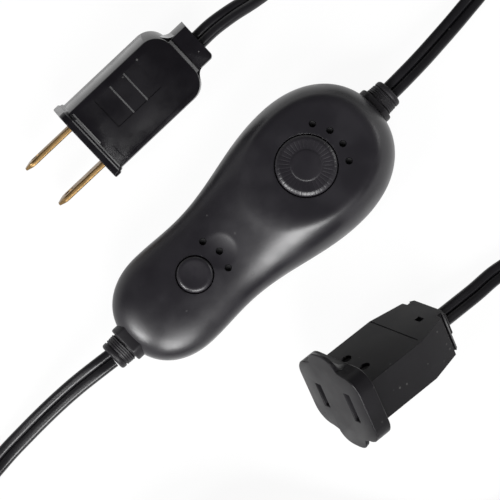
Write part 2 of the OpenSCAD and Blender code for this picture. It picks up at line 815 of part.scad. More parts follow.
module choke_winding() {
    color([0.72, 0.38, 0.16])
    translate([choke_at[0], choke_at[1], board_top])
    rotate([0, 0, 30])
    rotate_extrude(angle = 300)
    difference() {
        translate([choke_inner - winding_thickness, 0])
        square([choke_outer - choke_inner + 2 * winding_thickness, choke_height + 2 * winding_thickness]);
        translate([choke_inner - seat_gap, winding_thickness - seat_gap])
        square([choke_outer - choke_inner + 2 * seat_gap, choke_height + 2 * seat_gap]);
    }
}

module film_capacitor() {
    color([0.75, 0.6, 0.12])
    translate([capacitor_at[0], capacitor_at[1], board_top])
    cube(capacitor_size);
}

// A part with two wires: a round body over the board, and a wire down to it at each end.
module wired_part(length, diameter, reach) {
    height = diameter / 2 + 0.3;
    translate([-length / 2, 0, height]) rotate([0, 90, 0]) cylinder(d = diameter, h = length);
    translate([-reach / 2, 0, height]) rotate([0, 90, 0]) cylinder(d = 0.6, h = reach);
    for (x = [-reach / 2, reach / 2]) {
        translate([x, 0, 0]) cylinder(d = 0.6, h = height + 0.3);
    }
}

module resistor_set() {
    color([0.76, 0.66, 0.48])
    for (p = resistor_places) {
        translate([p[0], p[1], board_top]) wired_part(5.6, 2.2, 7.4);
    }
}

module diac() {
    color([0.2, 0.3, 0.62])
    translate([diac_at[0], diac_at[1], board_top]) wired_part(3.4, 1.7, 5.2);
}

// The cord's two cores inside the case, from the strain relief down to the board.
lead_radius = 1.25;
module leads(side, board_end) {
    start = relief_plate_x - 0.8;
    drop = parting_height - board_top - lead_radius - 0.2;
    for (y = [-lobe_at, lobe_at]) {
        swept_tube(
            concat(
                [[side * relief_plate_x, side * y, parting_height, 0]],
                [
                    for (k = [0 : 6])
                    let (t = k / 6, x = start + (board_end - start) * t)
                    [side * x, side * y * (1 + 1.2 * ease(t)), parting_height - drop * ease(t), 0]
                ]
            ),
            lead_radius * round_section
        );
    }
}

module line_leads() {
    color([0.9, 0.9, 0.88]) leads(1, board_high_x - 0.5);
}

module load_leads() {
    color([0.9, 0.9, 0.88]) leads(-1, -board_low_x - 2.6);
}

// A strain relief: ring, ribbed neck and end ring turned about X, with a plate inside the case.
module strain_relief() {
    rib_step = (relief_end - 1.3 - relief_ring_end) / relief_ribs;
    translate([0, 0, parting_height]) {
        rotate([0, 90, 0])
        rotate_extrude() {
            translate([0, relief_inner]) square([relief_neck_radius, relief_end - relief_inner]);
            for (k = [0 : relief_ribs - 1]) {
                translate([0, relief_ring_end + (k + 0.45) * rib_step]) square([relief_rib_radius, rib_step * 0.5]);
            }
            translate([0, relief_end - 1.3]) square([relief_end_radius, 1.3]);
        }
        translate([relief_inner, 0, 0])
        relief_ring(relief_diameter, relief_height, relief_ring_end - relief_inner);
        translate([relief_plate_x, 0, 0]) bar([relief_plate[0] + past, relief_plate[1], relief_plate[2]]);
    }
}

module line_strain_relief() {
    color([0.12, 0.118, 0.122]) strain_relief();
}

module load_strain_relief() {
    color([0.12, 0.118, 0.122]) rotate([0, 0, 180]) strain_relief();
}

module on_plug_place() {
    translate(plug_at) rotate(plug_turn) children();
}

module on_outlet_place() {
    translate(outlet_at) rotate(outlet_turn) children();
}

// A blade with its tapered tip and the barrel that grips the core, along X with its root at x = 0.
blade_inside = 14;
barrel_length = 6;
blade_hole = 3;
module blade(width) {
    difference() {
        union() {
            rotate([90, 0, 0])
            translate([0, 0, -blade_thickness / 2])
            linear_extrude(height = blade_thickness)
            polygon([
                [blade_inside, -width / 2], [-blade_length + 2, -width / 2], [-blade_length, -width / 4],
                [-blade_length, width / 4], [-blade_length + 2, width / 2], [blade_inside, width / 2]
            ]);
            translate([blade_inside - past, 0, 0])
            rotate([0, 90, 0])
            cylinder(r = lead_radius + 0.5, h = barrel_length + past);
        }
        for (side = [-1, 1]) {
            translate([-blade_length, side * blade_thickness / 2, 0])
            rotate([0, 0, side * 14])
            translate([-2, side > 0 ? 0 : -2, -width])
            cube([5, 2, 2 * width]);
        }
        translate([-blade_length + 4.2, blade_thickness, 0])
        rotate([90, 0, 0])
        cylinder(d = blade_hole, h = 2 * blade_thickness);
        translate([blade_inside + 1, 0, 0])
        rotate([0, 90, 0])
        cylinder(r = lead_radius, h = barrel_length + past);
    }
}

// The room that a blade and its barrel take inside the plug.
module blade_room(width) {
    translate([-past, 0, 0])
    bar([blade_inside + past + seat_gap, blade_thickness + 2 * seat_gap, width + 2 * seat_gap]);
    rotate([0, 90, 0])
    cylinder(r = lead_radius + 0.5 + seat_gap, h = blade_inside + barrel_length + seat_gap);
}

// A block of that size whose rear and sides lean in by those lengths from its base to its top.
module leaning(size, lean) {
    translate([0, 0, -size[2] / 2])
    linear_extrude(
        height = size[2],
        scale = [1 - lean[0] / size[0], 1 - 2 * lean[1] / size[1]],
        slices = 1,
        $fn = 32
    )
    children();
}

// The flange's face, which leans in towards its top as the plug's sides do.
module plug_flange_face() {
    half = [plug_flange[1] / 2, plug_flange[2] / 2];
    hull()
    for (side = [-1, 1]) {
        translate([side * (half[0] - plug_flange_foot), plug_flange_foot - half[1]]) circle(plug_flange_foot);
        translate([side * (half[0] - plug_flange_lean - plug_flange_corner), half[1] - plug_flange_corner])
        circle(plug_flange_corner);
    }
}

module plug_body() {
    color([0.09, 0.088, 0.094])
    on_plug_place()
    difference() {
        union() {
            across_x(plug_flange[0]) plug_flange_face();
            leaning([plug_length, plug_width, plug_thickness], plug_lean)
            union() {
                translate([0, -plug_width / 2]) square([plug_length - plug_corner, plug_width]);
                translate([0, plug_corner - plug_width / 2]) square([plug_length, plug_width - 2 * plug_corner]);
                for (y = [-1, 1]) {
                    translate([plug_length - plug_corner, y * (plug_width / 2 - plug_corner)])
                    circle(plug_corner);
                }
            }
            translate([plug_end - plug_neck[0] - 1, 0, 0])
            leaning([plug_neck[0] + 1, plug_neck[1], plug_neck[2]], plug_neck_lean)
            translate([0, -plug_neck[1] / 2]) square([plug_neck[0] + 1, plug_neck[1]]);
        }
        translate([0, blade_pitch / 2, 0]) blade_room(live_blade_width);
        translate([0, -blade_pitch / 2, 0]) blade_room(neutral_blade_width);
        difference() {
            translate([plug_panel[0], plug_panel[1], plug_thickness / 2 - panel_depth])
            cube([plug_panel[2], plug_panel[3], panel_depth + past]);
            for (x = plug_panel_ribs) {
                translate([x - 0.25, plug_panel[1], 0])
                cube([0.5, plug_panel[3], plug_thickness / 2]);
            }
        }
    }
}

module plug_blade_live() {
    color([0.8, 0.62, 0.3])
    on_plug_place() translate([0, blade_pitch / 2, 0]) blade(live_blade_width);
}

module plug_blade_neutral() {
    color([0.8, 0.62, 0.3])
    on_plug_place() translate([0, -blade_pitch / 2, 0]) blade(neutral_blade_width);
}

// The room behind a slot for its contact, and the slot itself.
module slot_room(length) {
    translate([-past, 0, 0]) bar([outlet_flange_thickness + past, slot_width, length]);
    translate([2, 0, 0])
    bar([contact_depth, slot_width + 2 * contact_leaf + 0.8, length + 0.8]);
    translate([contact_depth, 0, 0])
    rotate([0, 90, 0])
    cylinder(r = lead_radius + 0.5 + seat_gap, h = barrel_length + 2);
}

// A contact: two leaves joined at the back, with a barrel for the core.
module contact(length) {
    leaf_y = slot_width / 2;
    for (side = [-1, 1]) {
        translate([3, side * (leaf_y + contact_leaf / 2), 0]) bar([contact_depth - 1.6, contact_leaf, length]);
    }
    translate([contact_depth + 1.4 - contact_leaf, 0, 0]) bar([contact_leaf, slot_width + 2 * contact_leaf, length]);
    translate([contact_depth + 1.4 - contact_leaf, 0, 0])
    rotate([0, 90, 0])
    difference() {
        cylinder(r = lead_radius + 0.5, h = barrel_length);
        translate([0, 0, contact_leaf]) cylinder(r = lead_radius, h = barrel_length);
    }
}

module outlet_body() {
    half = outlet_width / 2;
    rear = outlet_rear_width / 2;
    grip_reach = outlet_flange_height / 2 + outlet_grip[1];
    color([0.1, 0.1, 0.106])
    on_outlet_place()
    difference() {
        union() {
            across_x(outlet_flange_thickness) round_rectangle(outlet_flange_width, outlet_flange_height, outlet_flange_corner);
            intersection() {
                across_x(outlet_flange_thickness)
                round_rectangle(outlet_grip[0], outlet_flange_height + 2 * outlet_grip[1], 4);
                rotate([90, 0, 0])
                translate([0, 0, -outlet_width / 2])
                linear_extrude(height = outlet_width)
                polygon([
                    [0, -grip_reach], [outlet_flange_thickness, -outlet_flange_height / 2 + past],
                    [outlet_flange_thickness, outlet_flange_height / 2 - past], [0, grip_reach]
                ]);
            }
            translate([0, 0, -outlet_thickness / 2])
            linear_extrude(height = outlet_thickness)
            polygon([
                [0, -half], [outlet_shoulder_x, -half], [outlet_length - 2.4, -rear - 2.3],
                [outlet_length - 2.2, -rear - 0.4], [outlet_length - 1.2, -rear - 0.4],
                [outlet_length - 1, -rear - 1], [outlet_length, -rear],
                [outlet_length, rear], [outlet_length - 1, rear + 1], [outlet_length - 1.2, rear + 0.4],
                [outlet_length - 2.2, rear + 0.4], [outlet_length - 2.4, rear + 2.3],
                [outlet_shoulder_x, half], [0, half]
            ]);
            translate([outlet_length - past, 0, 0])
            bar([outlet_tail + past, cord_width + 2.4, cord_thickness + 4]);
        }
        translate([0, blade_pitch / 2, 0]) slot_room(live_slot_length);
        translate([0, -blade_pitch / 2, 0]) slot_room(neutral_slot_length);
        for (y = [-3.9, 3.9]) {
            translate([outlet_flange_thickness + 4, y, outlet_thickness / 2 - 1]) cylinder(d = 2.6, h = wall);
        }
        translate([outlet_length - 6.6, -3.6, outlet_thickness / 2 - 0.9]) cube([1.6, 3, wall]);
        translate([outlet_shoulder_x - 0.2, -outlet_width, outlet_thickness / 2 - 0.2])
        cube([0.4, 2 * outlet_width, wall]);
    }
}

module outlet_contact_live() {
    color([0.82, 0.64, 0.32])
    on_outlet_place() translate([0, blade_pitch / 2, 0]) contact(live_slot_length);
}

module outlet_contact_neutral() {
    color([0.82, 0.64, 0.32])
    on_outlet_place() translate([0, -blade_pitch / 2, 0]) contact(neutral_slot_length);
}

module cord_stretch(route) {
    color([0.07, 0.07, 0.075]) swept_tube(route, cord_section);
}

module cord_coil(c, name) {
    path = coil_path(c);
    echo(str(name, " least gap to itself: ", least_gap(swept_rings(path, coil_section)), " mm"));
    color([0.07, 0.07, 0.075]) swept_tube(path, coil_section);
}

// A strap round all the turns of a coil, at an angle about its middle.
tie_width = 7;
tie_gap = 0.2;
module coil_tie(c, angle) {
    spread = coil_step * c[3] / 1440;
    low = c[4] - spread - lobe - tie_gap;
    across = 2 * (spread + lobe + tie_gap);
    tall = coil_rise + cord_width + 2 * tie_gap;
    color([0.1, 0.1, 0.1])
    translate([c[0][0], c[0][1], 0])
    rotate([0, 0, angle])
    difference() {
        translate([low - tie_thickness, -tie_width / 2, coil_low_z - cord_width / 2 - tie_gap - tie_thickness])
        cube([across + 2 * tie_thickness, tie_width, tall + 2 * tie_thickness]);
        translate([low, -tie_width, coil_low_z - cord_width / 2 - tie_gap])
        cube([across, 2 * tie_width, tall]);
    }
}

module line_cord_near() {
    cord_stretch(line_near_route);
}

module line_cord_coil() {
    cord_coil(line_coil, "line coil");
}

module line_cord_far() {
    cord_stretch(line_far_route);
}

module line_coil_tie() {
    coil_tie(line_coil, 180);
}

module load_cord_near() {
    cord_stretch(load_near_route);
}

module load_cord_coil() {
    cord_coil(load_coil, "load coil");
}

module load_cord_far() {
    cord_stretch(load_far_route);
}

module load_coil_tie() {
    coil_tie(load_coil, 210);
}

upper_shell();
lower_shell();
case_screw_set();
circuit_board();
board_screw_set();
pot_case();
pot_track();
pot_terminals();
pot_shaft();
dial();
push_button();
switch_body();
switch_plunger();
button_spring();
heat_sink();
triac();
choke_core();
choke_winding();
film_capacitor();
resistor_set();
diac();
line_leads();
load_leads();
line_strain_relief();
load_strain_relief();
plug_body();
plug_blade_live();
plug_blade_neutral();
outlet_body();
outlet_contact_live();
outlet_contact_neutral();
line_cord_near();
line_cord_coil();
line_cord_far();
line_coil_tie();
load_cord_near();
load_cord_coil();
load_cord_far();
load_coil_tie();
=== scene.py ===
"""In-line lamp cord dimmer: the looks of its pieces, on the frame of its solids.

Lengths are in millimetres until a mesh is made, and in metres in the scene.
+X runs along the case towards the dial, +Z is up, and the origin is under the middle of the case.
"""
import math

import bmesh
import bpy
from mathutils import Euler, Matrix, Vector


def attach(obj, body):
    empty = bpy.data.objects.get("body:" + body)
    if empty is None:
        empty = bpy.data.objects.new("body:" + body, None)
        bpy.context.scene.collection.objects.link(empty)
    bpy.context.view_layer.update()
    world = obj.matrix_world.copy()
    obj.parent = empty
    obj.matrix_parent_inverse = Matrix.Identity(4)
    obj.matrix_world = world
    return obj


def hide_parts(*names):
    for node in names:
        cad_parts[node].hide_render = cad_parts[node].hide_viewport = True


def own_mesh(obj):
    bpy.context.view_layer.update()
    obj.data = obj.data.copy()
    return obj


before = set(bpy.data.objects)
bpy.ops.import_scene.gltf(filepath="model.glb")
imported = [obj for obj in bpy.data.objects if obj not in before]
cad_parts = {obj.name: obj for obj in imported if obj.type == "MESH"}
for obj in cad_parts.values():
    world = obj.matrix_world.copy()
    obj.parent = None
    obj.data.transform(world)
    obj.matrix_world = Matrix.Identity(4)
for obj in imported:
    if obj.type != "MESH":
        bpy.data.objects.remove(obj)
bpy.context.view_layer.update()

MM = 0.001
CASE, DIAL, BUTTON = "dimmer", "dial_unit", "button_unit"
scene = bpy.context.scene


# Camera

CAMERA_EYE, CAMERA_TARGET = (-59.72, -60.91, 604.37), (-5.23, -4.65, 9.5)
CAMERA_SENSOR, CAMERA_LENS = 36.0, 164.16
CAMERA_NEAR, CAMERA_FAR = 50.0, 20000.0


def place_camera():
    """The photo's own view: nearly overhead, with the case running from lower left to upper right."""
    eye = Vector(CAMERA_EYE) * MM
    target = Vector(CAMERA_TARGET) * MM
    data = bpy.data.cameras.new("photo_camera")
    data.sensor_width = CAMERA_SENSOR
    data.lens = CAMERA_LENS
    data.clip_start = CAMERA_NEAR * MM
    data.clip_end = CAMERA_FAR * MM
    camera = bpy.data.objects.new("photo_camera", data)
    camera.location = eye
    camera.rotation_euler = (target - eye).to_track_quat("-Z", "Y").to_euler()
    scene.collection.objects.link(camera)
    scene.camera = camera


place_camera()


# Sizes that more than one section uses

PARTING, WALL, PLATEAU = 9.5, 2.0, 20.5
SMALL_END, LARGE_END = -28.0, 21.4
SMALL_REACH, LARGE_REACH = 17.0, 23.6
DIAL_X, DIAL_RADIUS, DIAL_TOP = 19.6, 8.15, 21.5
BUTTON_X, BUTTON_RADIUS, BUTTON_TOP = -20.7, 4.8, 17.7
RELIEF_RADIUS, RELIEF_FLAT = 5.25, 4.2
PLUG_AT, PLUG_TURN = (-16.9, 45.65, 8.6), (15.1, -5.0, -1.0)
OUTLET_AT, OUTLET_TURN = (-17.4, -49.4, 19.8), (-53.5, 17.5, -5.2)
PLUG_END, OUTLET_END = 40.8, 37.2
BLADE_PITCH = 12.7
COIL_STEP, COIL_RISE, COIL_LOW = 3.2, 5.9, 3.75
CORD_WIDTH, CORD_LOBE = 5.3, 1.35
AXIS_FLAT = 0.02


# Small maths

def clamp(value, low, high):
    return max(low, min(high, value))


def ease(t):
    return (1.0 - math.cos(math.pi * clamp(t, 0.0, 1.0))) / 2.0


def mix(a, b, t):
    return a + (b - a) * t


def soft_min(a, b, width):
    """The lower of a and b, with the corner between them rounded over that width."""
    h = clamp(0.5 + 0.5 * (b - a) / width, 0.0, 1.0)
    return mix(b, a, h) - width * h * (1.0 - h)


def signed_power(value, power):
    return math.copysign(abs(value) ** power, value)


def shorter(value, by):
    """The value drawn in towards zero."""
    return value - math.copysign(by, value)


def steps(low, high, count):
    return [low + (high - low) * k / count for k in range(count + 1)]


def circle(radius, count):
    """Points of a circle about the origin, anticlockwise."""
    turns = [math.tau * k / count for k in range(count)]
    return [(radius * math.cos(a), radius * math.sin(a)) for a in turns]


def arc(radius, first, last, count):
    """Points of an arc about the origin, from one angle in degrees to the other."""
    turns = [math.radians(t) for t in steps(first, last, count)]
    return [(radius * math.cos(a), radius * math.sin(a)) for a in turns]


def placement(at, turn):
    turned = Euler([math.radians(a) for a in turn], "XYZ").to_matrix().to_4x4()
    return Matrix.Translation(Vector(at)) @ turned


PLUG_PLACE = placement(PLUG_AT, PLUG_TURN)
OUTLET_PLACE = placement(OUTLET_AT, OUTLET_TURN)


# Mesh making

WELD_DISTANCE = 1e-7
SHARP, ROUND_SHARP, WIRE_SHARP = 30.0, 40.0, 50.0
RADIUS_SEGMENTS, RADIUS_ANGLE = 3, 35.0


class Shape:
    """Points and faces of a piece, in millimetres."""

    def __init__(self):
        self.points, self.faces = [], []

    def add(self, points, faces):
        first = len(self.points)
        self.points.extend(tuple(p) for p in points)
        self.faces.extend([first + k for k in face] for face in faces)
        return self

    def join(self, other):
        return self.add(other.points, other.faces)

    def moved(self, matrix):
        self.points = [tuple(matrix @ Vector(p)) for p in self.points]
        return self


def loft(rings, start=True, end=True):
    """A skin through rings of the same number of points. start and end close it with flat faces."""
    n = len(rings[0])
    faces = [
        [k * n + i, k * n + (i + 1) % n, (k + 1) * n + (i + 1) % n, (k + 1) * n + i]
        for k in range(len(rings) - 1) for i in range(n)
    ]
    if start:
        faces.append(list(range(n))[::-1])
    if end:
        faces.append([(len(rings) - 1) * n + i for i in range(n)])
    return Shape().add([p for ring in rings for p in ring], faces)


def lathe(profile, count, centre):
    """A profile of (radius, height) turned about an upright axis and closed flat at both ends."""
    return loft([
        [(centre[0] + u, centre[1] + v, height) for u, v in circle(radius, count)]
        for radius, height in profile
    ])


def slab(outline, low, high):
    """A flat outline given a thickness along Z."""
    return loft([[(x, y, z) for x, y in outline] for z in (low, high)])


def block(x0, x1, y0, y1, z0, z1):
    return slab([(x0, y0), (x1, y0), (x1, y1), (x0, y1)], z0, z1)


def bar(section, low, high):
    """A section in X and Z given a length along Y."""
    return loft([[(x, y, z) for x, z in section] for y in (low, high)])


def round_rectangle(width, height, radius, count):
    """Points of a rounded rectangle about the origin, anticlockwise."""
    ring = []
    for quarter, (sx, sy) in enumerate(((1, 1), (-1, 1), (-1, -1), (1, -1))):
        for u, v in arc(radius, 90.0 * quarter, 90.0 * quarter + 90.0, count):
            ring.append((sx * (width / 2 - radius) + u, sy * (height / 2 - radius) + v))
    return ring


def wire_rings(path, section):
    """The rings of a section that is carried along a path and kept upright."""
    rings = []
    for k, place in enumerate(path):
        along = (path[min(k + 1, len(path) - 1)] - path[max(k - 1, 0)]).normalized()
        side = Vector((0, 0, 1)).cross(along).normalized()
        rings.append(section(k, place, side, along.cross(side)))
    return rings


def smooth(mesh, sharp):
    mesh.shade_smooth()
    mesh.set_sharp_from_angle(angle=math.radians(sharp))


def object_of(name, shape, sharp=SHARP):
    mesh = bpy.data.meshes.new(name)
    mesh.from_pydata([Vector(p) * MM for p in shape.points], [], shape.faces)
    work = bmesh.new()
    work.from_mesh(mesh)
    bmesh.ops.remove_doubles(work, verts=work.verts, dist=WELD_DISTANCE)
    bmesh.ops.recalc_face_normals(work, faces=work.faces)
    work.to_mesh(mesh)
    work.free()
    smooth(mesh, sharp)
    obj = bpy.data.objects.new(name, mesh)
    scene.collection.objects.link(obj)
    return obj


def settle_modifiers(obj):
    """Keeps the modifiers' result as the piece's own mesh."""
    bpy.context.view_layer.update()
    graph = bpy.context.evaluated_depsgraph_get()
    mesh = bpy.data.meshes.new_from_object(obj.evaluated_get(graph))
    old = obj.data
    obj.modifiers.clear()
    obj.data = mesh
    mesh.name = obj.name
    bpy.data.meshes.remove(old)


def carve(obj, shape, sharp=SHARP):
    """Cuts the closed forms in shape out of the piece."""
    cutter = object_of(obj.name + "_cutter", shape)
    cut = obj.modifiers.new("cut", "BOOLEAN")
    cut.operation = "DIFFERENCE"
    cut.solver = "EXACT"
    cut.object = cutter
    settle_modifiers(obj)
    smooth(obj.data, sharp)
    bpy.data.objects.remove(cutter)


def soften(obj, width):
    """Small moulding radii on the piece's edges."""
    bevel = obj.modifiers.new("moulding_radius", "BEVEL")
    bevel.width = width * MM
    bevel.segments = RADIUS_SEGMENTS
    bevel.limit_method = "ANGLE"
    bevel.angle_limit = math.radians(RADIUS_ANGLE)
    bevel.harden_normals = True
    bevel.use_clamp_overlap = True
    settle_modifiers(obj)


def merge(name, objs):
    """One piece from several closed forms, each with its own radii already in its mesh."""
    work = bmesh.new()
    for obj in objs:
        work.from_mesh(obj.data)
    mesh = bpy.data.meshes.new(name)
    work.to_mesh(mesh)
    work.free()
    for obj in objs:
        bpy.data.objects.remove(obj)
    piece = bpy.data.objects.new(name, mesh)
    scene.collection.objects.link(piece)
    return piece


def move_to(obj, place):
    """Moves a piece that was made about its own origin to its place in the part."""
    obj.data.transform(Matrix.Scale(MM, 4) @ place @ Matrix.Scale(1.0 / MM, 4))


def finish_piece(obj, body, slot, *nodes, paint=None):
    """The piece rides its body, takes its slot's paint or the named one, and stands for the CAD nodes."""
    obj.data.materials.clear()
    obj.data.materials.append(PAINT[paint or slot])
    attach(obj, body)
    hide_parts(*nodes)
    return obj


# Shader groups

GRAIN_DETAIL, GRAIN_PITS, MOTTLE_DETAIL, MOTTLE_RANGE = 3.0, 0.35, 4.0, (0.32, 0.68)
STREAK_DETAIL, STREAK_RANGE = 4.0, (0.3, 0.7)


class Nodes:
    """Adds nodes to a tree and fills their inputs."""

    def __init__(self, tree):
        self.tree = tree

    def add(self, kind, inputs=(), **settings):
        node = self.tree.nodes.new(kind)
        for name, value in settings.items():
            setattr(node, name, value)
        self.fill(node, dict(inputs))
        return node

    def fill(self, node, inputs):
        """Inputs by name or number: a socket is linked, and a number or colour is set."""
        for name, value in inputs.items():
            if isinstance(value, (int, float, tuple)):
                node.inputs[name].default_value = value
            else:
                self.tree.links.new(value, node.inputs[name])

    def math(self, operation, a, b, clamped=False):
        return self.add("ShaderNodeMath", {0: a, 1: b}, operation=operation, use_clamp=clamped).outputs[0]

    def remap(self, value, low, high, to_low=0.0, to_high=1.0):
        ends = {"Value": value, "From Min": low, "From Max": high, "To Min": to_low, "To Max": to_high}
        return self.add("ShaderNodeMapRange", ends, interpolation_type="SMOOTHSTEP").outputs["Result"]

    def blend(self, factor, a, b):
        return self.add("ShaderNodeMix", {0: factor, 6: a, 7: b}, data_type="RGBA").outputs[2]

    def place(self):
        """The place on the surface, in the object's own coordinates."""
        return self.add("ShaderNodeTexCoord").outputs["Object"]


def new_group(name, inputs, outputs):
    """An empty shader group with named float sockets, as tree, nodes, given sockets and output node."""
    tree = bpy.data.node_groups.new(name, "ShaderNodeTree")
    for label, value in inputs.items():
        tree.interface.new_socket(label, in_out="INPUT", socket_type="NodeSocketFloat").default_value = value
    for label in outputs:
        tree.interface.new_socket(label, in_out="OUTPUT", socket_type="NodeSocketFloat")
    nodes = Nodes(tree)
    return tree, nodes, nodes.add("NodeGroupInput").outputs, nodes.add("NodeGroupOutput")


def make_grain_group():
    """Fine moulded grain with a slow change of tone: a height for Bump and a 0 to 1 tone."""
    tree, nodes, given, result = new_group(
        "moulded_grain", {"Scale": 2600.0, "Roughness": 0.6, "Mottle Scale": 90.0}, ("Height", "Tone"))
    where = nodes.place()
    skin = {"Vector": where, "Scale": given["Scale"]}
    fine = nodes.add("ShaderNodeTexNoise", {**skin, "Roughness": given["Roughness"], "Detail": GRAIN_DETAIL})
    pits = nodes.add("ShaderNodeTexVoronoi", skin, feature="F1")
    shallow = nodes.math("MULTIPLY", pits.outputs["Distance"], GRAIN_PITS)
    slow = nodes.add(
        "ShaderNodeTexNoise", {"Vector": where, "Scale": given["Mottle Scale"], "Detail": MOTTLE_DETAIL})
    nodes.fill(result, {
        "Height": nodes.math("ADD", fine.outputs["Fac"], shallow),
        "Tone": nodes.remap(slow.outputs["Fac"], *MOTTLE_RANGE),
    })
    return tree


def make_dust_group():
    """Sparse specks: a mask."""
    tree, nodes, given, result = new_group(
        "dust_specks", {"Scale": 520.0, "Share": 0.12, "Size": 0.16}, ("Mask",))
    spread = {"Vector": nodes.place(), "Scale": given["Scale"]}
    cells = nodes.add("ShaderNodeTexVoronoi", spread, feature="F1")
    split = nodes.add("ShaderNodeSeparateColor", {"Color": cells.outputs["Color"]}).outputs
    chosen = nodes.math("LESS_THAN", split["Red"], given["Share"])
    near = nodes.math("LESS_THAN", cells.outputs["Distance"], given["Size"])
    both = nodes.math("MULTIPLY", chosen, near)
    nodes.fill(result, {"Mask": nodes.math("MULTIPLY", both, split["Green"])})
    return tree


def make_edge_group():
    """Corners that handling has polished: a mask from the form's own convex edges."""
    tree, nodes, given, result = new_group(
        "edge_rub", {"Start": 0.515, "Full": 0.56, "Break Scale": 400.0}, ("Mask",))
    point = nodes.add("ShaderNodeNewGeometry").outputs["Pointiness"]
    ramp = nodes.add(
        "ShaderNodeMapRange", {"Value": point, "From Min": given["Start"], "From Max": given["Full"]})
    breakup = nodes.add("ShaderNodeTexNoise", {"Vector": nodes.place(), "Scale": given["Break Scale"]})
    nodes.fill(result, {
        "Mask": nodes.math("MULTIPLY", ramp.outputs["Result"], breakup.outputs["Fac"], True)})
    return tree


def make_streak_group():
    """Long fine marks along one axis, as rolling or stamping leaves: a height and a 0 to 1 tone."""
    tree, nodes, given, result = new_group(
        "rolled_streaks", {"Along X": 60.0, "Along Y": 3200.0, "Along Z": 3200.0}, ("Height", "Tone"))
    stretch = nodes.add("ShaderNodeCombineXYZ", {axis: given["Along " + axis] for axis in "XYZ"})
    scaled = nodes.add(
        "ShaderNodeVectorMath", {0: nodes.place(), 1: stretch.outputs["Vector"]}, operation="MULTIPLY")
    streak = nodes.add(
        "ShaderNodeTexNoise", {"Vector": scaled.outputs["Vector"], "Scale": 1.0, "Detail": STREAK_DETAIL})
    height = streak.outputs["Fac"]
    nodes.fill(result, {"Height": height, "Tone": nodes.remap(height, *STREAK_RANGE)})
    return tree


GRAIN = make_grain_group()
DUST = make_dust_group()
EDGE = make_edge_group()
STREAK = make_streak_group()


# Materials

FINE_BUMP, DEEP_BUMP, WIRE_BUMP, METAL_STRENGTH = 0.02, 0.03, 0.08, 0.12
RUBBED_TONE, RUBBED_POLISH, DUST_ROUGHNESS = 1.9, 0.1, 0.4
PALE_DUST = (0.06, 0.059, 0.058)
STAIN_SHARE, CORNER_SHARE, CORNER_TONE = 0.3, 0.5, 1.08
ROLLED = (60.0, 3200.0, 3200.0)
BAND_WIDTH, BAND_STAIN = 0.07, 0.2
TRACK_INNER, TRACK_OUTER = (4.4, 4.6), (6.4, 6.6)


def start_material(name):
    paint = bpy.data.materials.new(name)
    paint.use_nodes = True
    paint.node_tree.nodes.clear()
    nodes = Nodes(paint.node_tree)
    shader = nodes.add("ShaderNodeBsdfPrincipled")
    nodes.add("ShaderNodeOutputMaterial", {"Surface": shader.outputs["BSDF"]})
    return paint, nodes, shader


def use_group(nodes, tree, **values):
    inputs = {name.replace("_", " "): value for name, value in values.items()}
    return nodes.add("ShaderNodeGroup", inputs, node_tree=tree).outputs


def bumped(nodes, height, strength, distance):
    """A normal that follows a height."""
    inputs = {"Height": height, "Strength": strength, "Distance": distance * MM}
    return nodes.add("ShaderNodeBump", inputs).outputs["Normal"]


def tint(colour, factor=1.0):
    return tuple(min(1.0, c * factor) for c in colour) + (1.0,)


def plastic(name, colour, rough, bump=0.12, mottle=0.1, dust=0.05, rub=0.2, dusty=PALE_DUST, specular=0.5):
    """Moulded plastic or rubber: grain, a slow change of tone, polished corners and a few specks of dust."""
    paint, nodes, shader = start_material(name)
    skin = use_group(nodes, GRAIN)
    specks = use_group(nodes, DUST, Share=dust)
    edges = use_group(nodes, EDGE)
    tone = nodes.blend(skin["Tone"], tint(colour, 1.0 - mottle), tint(colour, 1.0 + mottle))
    worn = nodes.blend(nodes.math("MULTIPLY", edges["Mask"], rub), tone, tint(colour, RUBBED_TONE))
    slow = nodes.remap(skin["Tone"], 0.0, 1.0, rough - 0.04, rough + 0.05)
    polished = nodes.math("SUBTRACT", slow, nodes.math("MULTIPLY", edges["Mask"], RUBBED_POLISH))
    dulled = nodes.math("MULTIPLY", specks["Mask"], DUST_ROUGHNESS)
    nodes.fill(shader, {
        "Base Color": nodes.blend(specks["Mask"], worn, tint(dusty)),
        "Roughness": nodes.math("ADD", polished, dulled, True),
        "Specular IOR Level": specular,
        "Normal": bumped(nodes, skin["Height"], bump, DEEP_BUMP),
    })
    return paint


def metal(name, bright, dull, rough, along):
    """Rolled or stamped metal: streaks, a duller tone between them and brighter corners."""
    paint, nodes, shader = start_material(name)
    streaks = use_group(nodes, STREAK, Along_X=along[0], Along_Y=along[1], Along_Z=along[2])
    stains = use_group(nodes, GRAIN, Scale=1500.0, Mottle_Scale=160.0)
    edges = use_group(nodes, EDGE)
    lines = nodes.blend(streaks["Tone"], tint(dull), tint(bright))
    toned = nodes.blend(nodes.math("MULTIPLY", stains["Tone"], STAIN_SHARE), lines, tint(dull))
    corner = nodes.math("MULTIPLY", edges["Mask"], CORNER_SHARE)
    nodes.fill(shader, {
        "Base Color": nodes.blend(corner, toned, tint(bright, CORNER_TONE)),
        "Metallic": 1.0,
        "Roughness": nodes.remap(stains["Tone"], 0.0, 1.0, rough - 0.05, rough + 0.09),
        "Normal": bumped(nodes, streaks["Height"], METAL_STRENGTH, FINE_BUMP),
    })
    return paint


